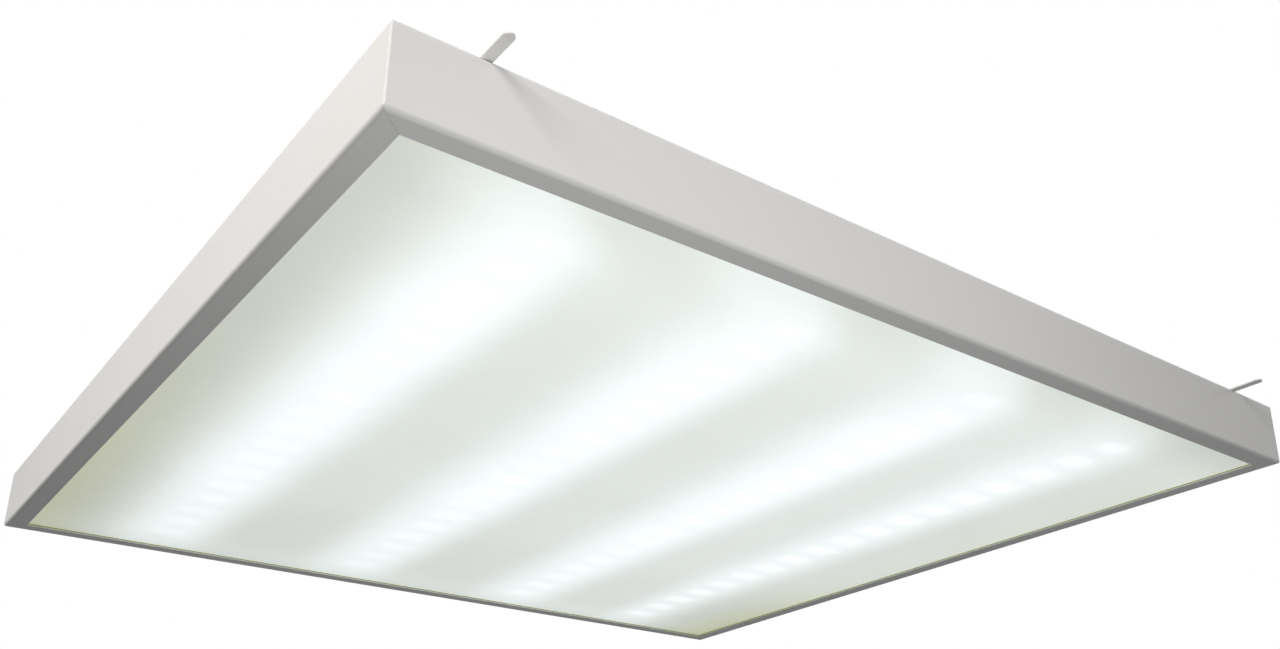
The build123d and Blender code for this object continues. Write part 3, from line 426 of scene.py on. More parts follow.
# ------------------------------------------------------------------ surfaces
@dataclass
class Skin:
    """A closed surface that is worked out before it becomes a piece.

    Attributes:
        points: one row of X, Y and Z for each point, in millimetres.
        quads: one row of four point numbers for each four-sided face.
        ends: the point numbers of each flat end.
    """

    points: np.ndarray
    quads: np.ndarray
    ends: list[np.ndarray] = field(default_factory=list)

    @classmethod
    def of_rings(cls, rings: np.ndarray, loop: bool = False) -> "Skin":
        """Joins a stack of rings: each point to its neighbour on the ring and on the next ring.

        Args:
            rings: the points, by ring, place on the ring, and axis.
            loop: joins the last ring to the first, in place of two flat ends.

        Returns:
            The surface.
        """
        count, around, _ = rings.shape
        numbers = np.arange(count * around).reshape(count, around)
        upper = np.roll(numbers, -1, axis=0) if loop else numbers[1:]
        lower = numbers if loop else numbers[:-1]
        corners = (lower, np.roll(lower, -1, axis=1), np.roll(upper, -1, axis=1), upper)
        quads = np.stack(corners, axis=-1).reshape(-1, 4)
        return cls(rings.reshape(-1, 3), quads, [] if loop else [numbers[0][::-1], numbers[-1]])

    @classmethod
    def turned(cls, profile: np.ndarray, around: int = 24, loop: bool = False) -> "Skin":
        """Turns a profile about Z: a radius r at height z gives r cos t, r sin t and z.

        Args:
            profile: rows of radius and height, from the lowest end up the outside.
            around: points on a ring.
            loop: closes the profile on itself, as for a washer.

        Returns:
            The surface.
        """
        angles = np.linspace(0.0, math.tau, around, endpoint=False)
        return cls.of_rings(polar(profile[:, :1], angles[None], profile[:, 1:]), loop)

    @classmethod
    def joined(cls, skins: list["Skin"]) -> "Skin":
        """Puts several surfaces into one.

        Args:
            skins: the surfaces.

        Returns:
            One surface with all their faces.
        """
        starts = np.cumsum([0] + [len(skin.points) for skin in skins])
        return cls(
            np.concatenate([skin.points for skin in skins]),
            np.concatenate([skin.quads + start for skin, start in zip(skins, starts)]),
            [end + start for skin, start in zip(skins, starts) for end in skin.ends],
        )

    def at(self, spots: np.ndarray) -> "Skin":
        """Repeats the surface.

        Args:
            spots: one row of X, Y and Z for each copy, in millimetres.

        Returns:
            All the copies as one surface.
        """
        return Skin.joined([Skin(self.points + spot, self.quads, self.ends) for spot in spots])

    def piece(self, name: str, crease: float = 40.0) -> bpy.types.Object:
        """Makes the surface a mesh in metres, smooth except where it turns sharply.

        Args:
            name: the piece's name.
            crease: the angle in degrees past which an edge stays sharp.

        Returns:
            The piece.
        """
        mesh = bpy.data.meshes.new(name)
        faces = self.quads.tolist() + [end.tolist() for end in self.ends]
        mesh.from_pydata((self.points * MM).tolist(), [], faces)
        mesh.shade_smooth()
        mesh.set_sharp_from_angle(angle=math.radians(crease))
        made = bpy.data.objects.new(name, mesh)
        bpy.context.scene.collection.objects.link(made)
        return made


def polar(radius: np.ndarray, angle: np.ndarray, height: np.ndarray) -> np.ndarray:
    """Points at a radius, an angle from X towards Y, and a height, each an array."""
    across, along, up = np.broadcast_arrays(radius * np.cos(angle), radius * np.sin(angle), height)
    return np.stack((across, along, up), axis=-1)


def box_mm(node: str) -> tuple[np.ndarray, np.ndarray]:
    """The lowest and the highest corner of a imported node, in millimetres."""
    return tuple(np.array(corner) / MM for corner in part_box(node))


def strip_middles() -> list[float]:
    """The middle of each strip board along X, in millimetres."""
    return [(low[0] + high[0]) / 2 for low, high in (box_mm(f"led_strip_{n}") for n in STRIPS)]


def corner_spots(node: str, inset: float, seat: float) -> np.ndarray:
    """Four places at the corners of a node's box.

    Args:
        node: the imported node.
        inset: how far inside the box they lie, along X and along Y.
        seat: their height.

    Returns:
        One row of X, Y and Z for each place. Places that fall together are given once.
    """
    low, high = box_mm(node)
    across = sorted({round(low[0] + inset, 1), round(high[0] - inset, 1)})
    along = sorted({round(low[1] + inset, 1), round(high[1] - inset, 1)})
    return np.array([(x, y, seat) for x in across for y in along])


EVEN_RIM, EVEN_FLOOR = math.pi / 8, math.pi / 24  # half angles of an arm on an even ring
RECESS_FLOOR = 0.34  # height of a recess's floor, as a share of the head's


@dataclass(frozen=True)
class PanScrew:
    """Pan-head screw with a cross recess and a rolled thread, its seat at height 0.

    Lengths are in millimetres. A ring has 24 points, six for each arm of the cross: two along
    its floor, two along its rims, and two between it and the next arm.

    Attributes:
        head_radius: the head's radius.
        head_height: its height.
        shank_radius: the thread's outer radius.
        length: the length under the head.
        pitch: the thread's pitch.
        point: the length of the tapered tip, nearly 0 for a machine screw.
    """

    head_radius: float
    head_height: float
    shank_radius: float
    length: float
    pitch: float = 0.7
    point: float = 0.3

    def angles(self, rim: np.ndarray, floor: np.ndarray) -> np.ndarray:
        """Angles of the points on each ring.

        Args:
            rim: the half angle of an arm's rims, for each ring.
            floor: the half angle of its floor.

        Returns:
            One row for each ring. The arms start at 0, 90, 180 and 270 degrees.
        """
        gap = (math.pi / 2 - 2.0 * rim) / 3.0
        arm = np.stack((-rim, -floor, floor, rim, rim + gap, rim + 2.0 * gap), axis=-1)
        quarters = np.arange(4) * math.pi / 2
        return (arm[:, None, :] + quarters[:, None]).reshape(len(rim), -1)

    def even(self, count: int) -> np.ndarray:
        """Angles of rings whose points are evenly spaced."""
        return self.angles(np.full(count, EVEN_RIM), np.full(count, EVEN_FLOOR))

    def shank(self) -> np.ndarray:
        """Rings of the thread.

        Its depth is a triangle wave of the height over the pitch less the angle over a full
        turn, so that the ridge climbs as a helix.

        Returns:
            The points, by ring, place on the ring, and axis.
        """
        depth, tip = 0.3, 0.3  # a share of the pitch, and of the radius at the very tip
        heights = np.arange(-self.length, -0.05, self.pitch / 4.0)[:, None]
        angles = self.even(len(heights))
        wave = np.abs((heights / self.pitch - angles / math.tau) % 1.0 * 2.0 - 1.0)
        taper = np.clip((heights + self.length) / self.point * (1.0 - tip) + tip, tip, 1.0)
        return polar((self.shank_radius - depth * self.pitch * wave) * taper, angles, heights)

    def side(self) -> np.ndarray:
        """Rings of the head's underside and rim.

        Returns:
            The points, by ring, place on the ring, and axis.
        """
        radii = self.head_radius * np.array((0.0, 0.96, 1.0, 1.0))[:, None]
        radii[0] = self.shank_radius
        heights = self.head_height * np.array((0.0, 0.0, 0.06, RECESS_FLOOR))[:, None]
        return polar(radii, self.even(len(radii)), heights)

    def crown(self) -> np.ndarray:
        """Rings of the crown and its recess, from the rim inwards.

        With s for the share of the head's radius, the crown's height is 0.36 of the head's plus
        0.64 of it times the 2.4th root of 1 - s to the power 2.4. Inside the arms, and where
        they meet in the middle, the height is the recess's floor.

        Returns:
            The points, by ring, place on the ring, and axis.
        """
        shares = np.array((0.985, 0.95, 0.88, 0.78, 0.66, 0.6, 0.42, 0.3, 0.24, 0.1))[:, None]
        reach, rim_half, floor_half = 0.62, 0.19, 0.13  # the recess, as shares of the radius
        rim_widest, floor_widest = 0.76, 0.6  # half angles, under 45 degrees
        even_from = 0.9  # the share of the radius past which the points are evenly spaced
        edge, power = 0.36, 2.4
        rim = np.arcsin(np.minimum(rim_half / shares, math.sin(rim_widest)))
        floor = np.arcsin(np.minimum(floor_half / shares, math.sin(floor_widest)))
        rim = np.where(shares > even_from, EVEN_RIM, rim)[:, 0]
        floor = np.where(shares > even_from, EVEN_FLOOR, floor)[:, 0]
        crown = (1.0 - shares**power) ** (1.0 / power)
        dome = self.head_height * (edge + (1.0 - edge) * crown)
        in_arm = np.tile((False, True, True, False, False, False), 4)[None]
        sunk = (in_arm & (shares < reach)) | (shares < rim_half * math.sqrt(2.0))
        heights = np.where(sunk, self.head_height * RECESS_FLOOR, dome)
        return polar(shares * self.head_radius, self.angles(rim, floor), heights)

    def skin(self) -> Skin:
        """The whole screw."""
        return Skin.of_rings(np.concatenate((self.shank(), self.side(), self.crown())))

    def on(self, node: str) -> Skin:
        """Copies at the corners of a node's box, whose lowest points are the screws' tips."""
        seat = box_mm(node)[0][2] + self.length
        return self.skin().at(corner_spots(node, self.head_radius, seat))


@dataclass(frozen=True)
class BlindRivet:
    """Pulled rivet: a domed head with the pit of its pulled pin, and a bulb on the far side.

    Lengths are in millimetres.

    Attributes:
        head_radius: the head's radius.
        head_height: its height.
        shank_radius: the radius in the hole.
        bulb_radius: the bulb's radius.
        bulb_height: its height.
    """

    head_radius: float
    head_height: float
    shank_radius: float
    bulb_radius: float
    bulb_height: float

    def skin(self, seat: float, far: float) -> Skin:
        """The rivet on the Z axis.

        The head's dome is a circle squashed to its height, and the bulb is half an ellipse.

        Args:
            seat: the height that the head sits against.
            far: the height of the sheet's far side, where the bulb starts.

        Returns:
            The surface, head down where seat is below far.
        """
        way = 1.0 if far > seat else -1.0
        depth = abs(far - seat)
        edge = 0.12  # the height of the head's edge, as a share of the head's
        dome_turn = np.linspace(0.2 * math.pi / 2, math.pi / 2, 7)
        dome_height = self.head_height * (edge + (1.0 - edge) * np.cos(dome_turn))
        dome = np.column_stack((self.head_radius * np.sin(dome_turn), -dome_height))
        pit = np.array(((0.09, -0.45), (0.17, -0.5), (0.2, -0.95)))  # shares of the head's sizes
        pit = pit * (self.head_radius, self.head_height)
        under = np.array(((self.head_radius * 0.97, 0.0), (self.shank_radius, 0.0)))
        neck = np.array([(self.shank_radius, depth)])
        bulb_turn = np.linspace(-0.42 * math.pi, 0.34 * math.pi, 9)
        bulb_height = self.bulb_height * (0.5 + 0.42 * np.sin(bulb_turn))
        bulb = np.column_stack((self.bulb_radius * np.cos(bulb_turn), depth + bulb_height))
        pin = np.array(((0.42, 0.88), (0.42, 0.97), (0.36, 1.0)))  # shares of the bulb's sizes
        pin = np.column_stack((pin[:, 0] * self.bulb_radius, depth + pin[:, 1] * self.bulb_height))
        profile = np.concatenate((pit, dome, under, neck, bulb, pin))
        profile = np.column_stack((profile[:, 0], seat + way * profile[:, 1]))
        return Skin.turned(profile if way > 0 else profile[::-1])


# ------------------------------------------------------------------ finishes
def tinted(colour: Colour, share: float = 1.0) -> Opaque:
    """A colour made lighter or darker by a share, as red, green, blue and opacity."""
    return (*(min(1.0, part * share) for part in colour), 1.0)


@dataclass(frozen=True)
class Finish:
    """A surface finish: what the record's material slot looks like.

    Attributes:
        slot: the record's material slot.
        colour: the base colour, linear.
        roughness: 0 for a mirror, 1 for chalk.
    """

    slot: str
    colour: Colour
    roughness: float

    def material(self) -> bpy.types.Material:
        """Makes the finish's material.

        Returns:
            The material, named for its slot.
        """
        made = bpy.data.materials.new(self.slot)
        made.use_nodes = True
        made.node_tree.nodes.clear()
        canvas = Canvas(made.node_tree)
        surface = canvas.add("ShaderNodeBsdfPrincipled")
        output = canvas.add("ShaderNodeOutputMaterial")
        canvas.feed(output.inputs["Surface"], surface.outputs["BSDF"])
        self.dress(canvas, surface.inputs)
        return made

    def dress(self, canvas: Canvas, shader: bpy.types.NodeInputs) -> None:
        """Writes the finish's nodes. Each kind of finish has its own.

        Args:
            canvas: the material's canvas.
            shader: the inputs of its Principled shader.
        """
        raise NotImplementedError

    def toned(self, canvas: Canvas, tone: Socket, amount: float) -> Socket:
        """The base colour, made lighter and darker by a tone.

        Args:
            canvas: the material's canvas.
            tone: the pattern, from -1 to 1.
            amount: the share by which the colour changes at each end.

        Returns:
            The changing colour.
        """
        share = canvas.math("MULTIPLY_ADD", tone, 0.5, 0.5)
        darker, lighter = tinted(self.colour, 1.0 - amount), tinted(self.colour, 1.0 + amount)
        return canvas.mix(share, darker, lighter)

    def roughened(self, canvas: Canvas, pattern: Socket, amount: float) -> Socket:
        """The roughness, with a pattern's share added to it.

        Args:
            canvas: the material's canvas.
            pattern: the pattern.
            amount: what a pattern of 1 adds.

        Returns:
            The changing roughness.
        """
        return canvas.math("MULTIPLY_ADD", pattern, amount, self.roughness)


@dataclass(frozen=True)
class PowderCoat(Finish):
    """Semi-gloss powder coat, with its orange peel, faint wear at edges and dust on top.

    Attributes:
        peel: orange-peel bumps per metre.
        peel_depth: their height.
        fade: the share by which the colour drifts.
        smear: what a smear adds to the roughness.
        wear_reach: how far from an edge it is rubbed.
        wear: how much of the primer shows there.
        primer: the greyer colour that shows where an edge is rubbed.
        dust: the colour of the dust.
        dust_cover: how much of the coat the dust hides.
        dust_matt: what the dust adds to the roughness.
    """

    peel: float = 520.0
    peel_depth: float = 0.00003
    fade: float = 0.012
    smear: float = 0.07
    wear_reach: float = 0.0007
    wear: float = 0.35
    primer: Colour = (0.62, 0.62, 0.61)
    dust: Colour = (0.66, 0.64, 0.6)
    dust_cover: float = 0.16
    dust_matt: float = 0.25

    def dress(self, canvas: Canvas, shader: bpy.types.NodeInputs) -> None:
        """Writes the coat: peel as bump, drift as tone and gloss, wear and dust as colour.

        Args:
            canvas: the material's canvas.
            shader: the inputs of its Principled shader.
        """
        place = canvas.place()
        grain = canvas.effect("grain", Place=place, Grains=self.peel).outputs
        drift = canvas.effect("drift", Place=place, Patches=5.0).outputs
        worn = canvas.effect("edge wear", Place=place, Reach=self.wear_reach).outputs["Mask"]
        dusty = canvas.effect("dust", Place=place).outputs["Mask"]
        colour = self.toned(canvas, drift["Tone"], self.fade)
        colour = canvas.mix(canvas.product(worn, self.wear), colour, tinted(self.primer))
        colour = canvas.mix(canvas.product(dusty, self.dust_cover), colour, tinted(self.dust))
        canvas.feed(shader["Base Color"], colour)
        rough = self.roughened(canvas, drift["Smear"], self.smear)
        rough = canvas.math("MULTIPLY_ADD", dusty, self.dust_matt, rough)
        canvas.feed(shader["Roughness"], rough)
        canvas.feed(shader["IOR"], 1.5)
        canvas.feed(shader["Normal"], canvas.bump(grain["Height"], self.peel_depth))


@dataclass(frozen=True)
class Plated(Finish):
    """Plated or bare metal, with the small cells or drawn lines of its surface.

    Attributes:
        cast: a second colour that the plating drifts towards.
        cast_share: how far it drifts there.
        drawn: how far its lines are stretched along X, Y and Z.
        cells: cells or lines per metre.
        cell_fade: the share by which the colour differs from cell to cell.
        cell_gloss: by how much the roughness differs.
        smear: what a smear adds to the roughness.
        grain_depth: the height of its fine grain.
    """

    cast: Colour = (0.5, 0.53, 0.58)
    cast_share: float = 0.25
    drawn: tuple[float, float, float] = (1.0, 1.0, 1.0)
    cells: float = 900.0
    cell_fade: float = 0.07
    cell_gloss: float = 0.05
    smear: float = 0.14
    grain_depth: float = 0.00002

    def dress(self, canvas: Canvas, shader: bpy.types.NodeInputs) -> None:
        """Writes the metal: cell shades, a drifting cast, and smears in the gloss.

        Args:
            canvas: the material's canvas.
            shader: the inputs of its Principled shader.
        """
        place = canvas.place()
        lines = canvas.vector("MULTIPLY", place, self.drawn)
        shade = canvas.parts(canvas.cells(lines, self.cells, CellPart.COLOUR))[0]
        drift = canvas.effect("drift", Place=place, Patches=60.0).outputs
        grain = canvas.effect("grain", Place=place, Grains=2200.0).outputs
        tone = canvas.math("MULTIPLY_ADD", shade, 2.0, -1.0)
        colour = self.toned(canvas, tone, self.cell_fade)
        share = canvas.math("MULTIPLY_ADD", drift["Tone"], self.cast_share, self.cast_share)
        canvas.feed(shader["Base Color"], canvas.mix(share, colour, tinted(self.cast)))
        canvas.feed(shader["Metallic"], 1.0)
        rough = self.roughened(canvas, drift["Smear"], self.smear)
        rough = canvas.math("MULTIPLY_ADD", tone, self.cell_gloss, rough)
        canvas.feed(shader["Roughness"], rough)
        canvas.feed(shader["Normal"], canvas.bump(grain["Height"], self.grain_depth))


@dataclass(frozen=True)
class Moulded(Finish):
    """Moulded plastic, rubber or fibre, with the etched grain of its mould.

    Attributes:
        grains: grains per metre.
        grain_depth: their height.
        grain_tone: how much of the tone comes from the grain.
        fade: the share by which the colour drifts.
        smear: what a smear adds to the roughness.
        wear_reach: how far from an edge it is rubbed.
        wear: how far an edge goes to the paler colour.
        paler: the share by which that colour is lighter.
        dust: the colour of the dust on top.
        dust_cover: how much of the plastic the dust hides.
        dust_matt: what the dust adds to the roughness.
    """

    grains: float = 1500.0
    grain_depth: float = 0.00005
    grain_tone: float = 0.4
    fade: float = 0.03
    smear: float = 0.1
    wear_reach: float = 0.0005
    wear: float = 0.4
    paler: float = 1.25
    dust: Colour = (0.6, 0.58, 0.54)
    dust_cover: float = 0.14
    dust_matt: float = 0.2

    def dress(self, canvas: Canvas, shader: bpy.types.NodeInputs) -> None:
        """Writes the plastic: etched grain, drift of its colour, paler edges and dust.

        Args:
            canvas: the material's canvas.
            shader: the inputs of its Principled shader.
        """
        place = canvas.place()
        grain = canvas.effect("grain", Place=place, Grains=self.grains).outputs
        drift = canvas.effect("drift", Place=place, Patches=24.0).outputs
        worn = canvas.effect("edge wear", Place=place, Reach=self.wear_reach).outputs["Mask"]
        dusty = canvas.effect("dust", Place=place).outputs["Mask"]
        tone = canvas.math("MULTIPLY_ADD", grain["Tone"], self.grain_tone, drift["Tone"])
        colour = self.toned(canvas, tone, self.fade)
        paler = tinted(self.colour, self.paler)
        colour = canvas.mix(canvas.product(worn, self.wear), colour, paler)
        colour = canvas.mix(canvas.product(dusty, self.dust_cover), colour, tinted(self.dust))
        canvas.feed(shader["Base Color"], colour)
        rough = self.roughened(canvas, drift["Smear"], self.smear)
        rough = canvas.math("MULTIPLY_ADD", dusty, self.dust_matt, rough)
        canvas.feed(shader["Roughness"], rough)
        canvas.feed(shader["Normal"], canvas.bump(grain["Height"], self.grain_depth))


@dataclass(frozen=True)
class Sleeve(Finish):
    """Extruded insulation of a lead, with faint draw marks and an optional stripe.

    Attributes:
        stripe: the colour of the stripe along the lead, or None.
        across: the direction that the stripe faces.
        fade: the share by which the colour drifts.
        smear: what a draw mark adds to the roughness.
        grain_depth: the height of the fine grain.
    """

    stripe: Colour | None = None
    across: tuple[float, float, float] = (0.94, 0.0, 0.34)
    fade: float = 0.06
    smear: float = 0.15
    grain_depth: float = 0.00003

    def dress(self, canvas: Canvas, shader: bpy.types.NodeInputs) -> None:
        """Writes the sleeve: draw marks, and the stripe where the normal faces it.

        Args:
            canvas: the material's canvas.
            shader: the inputs of its Principled shader.
        """
        place = canvas.place()
        grain = canvas.effect("grain", Place=place, Grains=1800.0).outputs
        drift = canvas.effect("drift", Place=place, Patches=90.0).outputs
        colour = self.toned(canvas, drift["Tone"], self.fade)
        if self.stripe:
            facing = canvas.vector("DOT_PRODUCT", canvas.place(Space.NORMAL), self.across)
            band = canvas.step(canvas.math("ABSOLUTE", facing), 0.62, 0.7)
            colour = canvas.mix(band, colour, tinted(self.stripe))
        canvas.feed(shader["Base Color"], colour)
        canvas.feed(shader["Roughness"], self.roughened(canvas, drift["Smear"], self.smear))
        canvas.feed(shader["Normal"], canvas.bump(grain["Height"], self.grain_depth))


@dataclass(frozen=True)
class Laminate(Finish):
    """Circuit board: a lacquered laminate with its copper fields under the lacquer.

    Attributes:
        copper: the colour over a copper field.
        fields: copper fields per metre.
        step_height: how far a field is raised.
        fade: the share by which the colour changes with the grain.
        gloss: by how much the roughness changes with it.
    """

    copper: Colour = (0.1, 0.36, 0.18)
    fields: float = 180.0
    step_height: float = 0.00004
    fade: float = 0.05
    gloss: float = 0.04

    def dress(self, canvas: Canvas, shader: bpy.types.NodeInputs) -> None:
        """Writes the board: copper fields, raised a little under a glossy lacquer.

        Args:
            canvas: the material's canvas.
            shader: the inputs of its Principled shader.
        """
        place = canvas.place()
        distance = canvas.cells(place, self.fields, CellPart.DISTANCE, feature="DISTANCE_TO_EDGE")
        copper = canvas.step(distance, 0.06, 0.1)
        grain = canvas.effect("grain", Place=place, Grains=1300.0).outputs
        colour = self.toned(canvas, grain["Tone"], self.fade)
        canvas.feed(shader["Base Color"], canvas.mix(copper, colour, tinted(self.copper)))
        canvas.feed(shader["Roughness"], self.roughened(canvas, grain["Tone"], self.gloss))
        canvas.feed(shader["Normal"], canvas.bump(copper, self.step_height))


@dataclass(frozen=True)
class Foam(Finish):
    """Closed-cell mounting tape, with its cells cut open along the edge.

    Attributes:
        cells: cells per metre.
        pit_depth: the depth of an open cell.
        pit_shade: the painted shade in an open cell, as a share of the colour.
        fade: the share by which the colour drifts.
        matt: what the skin between the cells adds to the roughness.
    """

    cells: float = 2600.0
    pit_depth: float = 0.0001
    pit_shade: float = 0.55
    fade: float = 0.08
    matt: float = 0.1

    def dress(self, canvas: Canvas, shader: bpy.types.NodeInputs) -> None:
        """Writes the foam: painted shade in the pits where a cell is open.

        Args:
            canvas: the material's canvas.
            shader: the inputs of its Principled shader.
        """
        place = canvas.place()
        skin = canvas.step(canvas.cells(place, self.cells, CellPart.DISTANCE), 0.15, 0.5)
        drift = canvas.effect("drift", Place=place, Patches=12.0).outputs
        # Painted shade in the open cells.
        dark = tinted(self.colour, self.pit_shade)
        pale = self.toned(canvas, drift["Tone"], self.fade)
        canvas.feed(shader["Base Color"], canvas.mix(skin, dark, pale))
        canvas.feed(shader["Roughness"], self.roughened(canvas, skin, self.matt))
        canvas.feed(shader["Normal"], canvas.bump(skin, self.pit_depth))


@dataclass(frozen=True)
class Wound(Finish):
    """Wound wire or tape: turns that lie side by side across one axis.

    Attributes:
        turns: turns per metre.
        turn_depth: the height of a turn's ridge.
        gap_shade: how dark it is between two turns, as a share of the colour.
        axis: the axis that the turns are stacked along.
        metal: 1 for wire, 0 for tape.
        fade: the share by which the colour drifts.
        smear: what a smear adds to the roughness.
    """

    turns: float = 1400.0
    # gap_shade: the painted shade between two turns, as a share of the colour.
    turn_depth: float = 0.00015
    gap_shade: float = 0.5
    axis: tuple[float, float, float] = (0.0, 0.0, 1.0)
    metal: float = 1.0
    fade: float = 0.12
    smear: float = 0.1

    def dress(self, canvas: Canvas, shader: bpy.types.NodeInputs) -> None:
        """Writes the winding: a rounded ridge for each turn, which is a sine of the height, with
        painted shade between the turns.

        Args:
            canvas: the material's canvas.
            shader: the inputs of its Principled shader.
        """
        place = canvas.place()
        along = canvas.vector("DOT_PRODUCT", place, self.axis)
        wave = canvas.math("SINE", canvas.product(along, self.turns * math.tau))
        ridge = canvas.math("MULTIPLY_ADD", wave, 0.5, 0.5)
        drift = canvas.effect("drift", Place=place, Patches=70.0).outputs
        colour = self.toned(canvas, drift["Tone"], self.fade)
        # Painted shade between two turns.
        dark = tinted(self.colour, self.gap_shade)
        canvas.feed(shader["Base Color"], canvas.mix(ridge, dark, colour))
        canvas.feed(shader["Metallic"], self.metal)
        canvas.feed(shader["Roughness"], self.roughened(canvas, drift["Smear"], self.smear))
        canvas.feed(shader["Normal"], canvas.bump(ridge, self.turn_depth))


@dataclass(frozen=True)
class LightPoint(Finish):
    """Light-emitting package: a pale case round a phosphor window that glows.

    Attributes:
        glow: the strength of the window's light.
        window_low: the height below which the case is the window.
        window_blend: half the height over which one turns into the other.
        case: the colour of the case.
        fade: the share by which the phosphor's colour changes with its grain.
        gloss: by how much the roughness changes with it.
    """

    glow: float = 0.5
    window_low: float = 0.0370
    window_blend: float = 0.00005
    case: Colour = (0.85, 0.85, 0.82)
    fade: float = 0.1
    gloss: float = 0.05

    def dress(self, canvas: Canvas, shader: bpy.types.NodeInputs) -> None:
        """Writes the package: phosphor and light below the window's height, case above it.

        Args:
            canvas: the material's canvas.
            shader: the inputs of its Principled shader.
        """
        place = canvas.place()
        grain = canvas.effect("grain", Place=place, Grains=5000.0).outputs
        height = canvas.parts(place)[2]
        low, high = self.window_low - self.window_blend, self.window_low + self.window_blend
        window = canvas.step(height, low, high, 1.0, 0.0)
        phosphor = self.toned(canvas, grain["Tone"], self.fade)
        canvas.feed(shader["Base Color"], canvas.mix(window, tinted(self.case), phosphor))
        canvas.feed(shader["Roughness"], self.roughened(canvas, grain["Tone"], self.gloss))
        canvas.feed(shader["Emission Color"], canvas.mix(window, BLACK, WHITE))
        canvas.feed(shader["Emission Strength"], self.glow)


@dataclass(frozen=True)
class Ramp:
    """Smooth change from one value to another along an axis.

    Attributes:
        low: where it starts, in millimetres.
        high: where it ends.
        start: the value at the start.
        end: the value at the end.
    """

    low: float
    high: float
    start: float = 0.0
    end: float = 1.0

    def over(self, canvas: Canvas, place: Socket) -> Socket:
        """The value at a place along the axis."""
        return canvas.step(place, self.low, self.high, self.start, self.end)


@dataclass(frozen=True)
class Patch:
    """Field on a sheet that is the product of a ramp along X and one along Y.

    Attributes:
        across: the ramp along X.
        along: the ramp along Y.
        share: what the product is multiplied by.
    """

    across: Ramp
    along: Ramp
    share: float = 1.0

    def over(self, canvas: Canvas, x: Socket, y: Socket) -> Socket:
        """The field's value at a place."""
        both = canvas.product(self.across.over(canvas, x), self.along.over(canvas, y))
        return canvas.product(both, self.share)


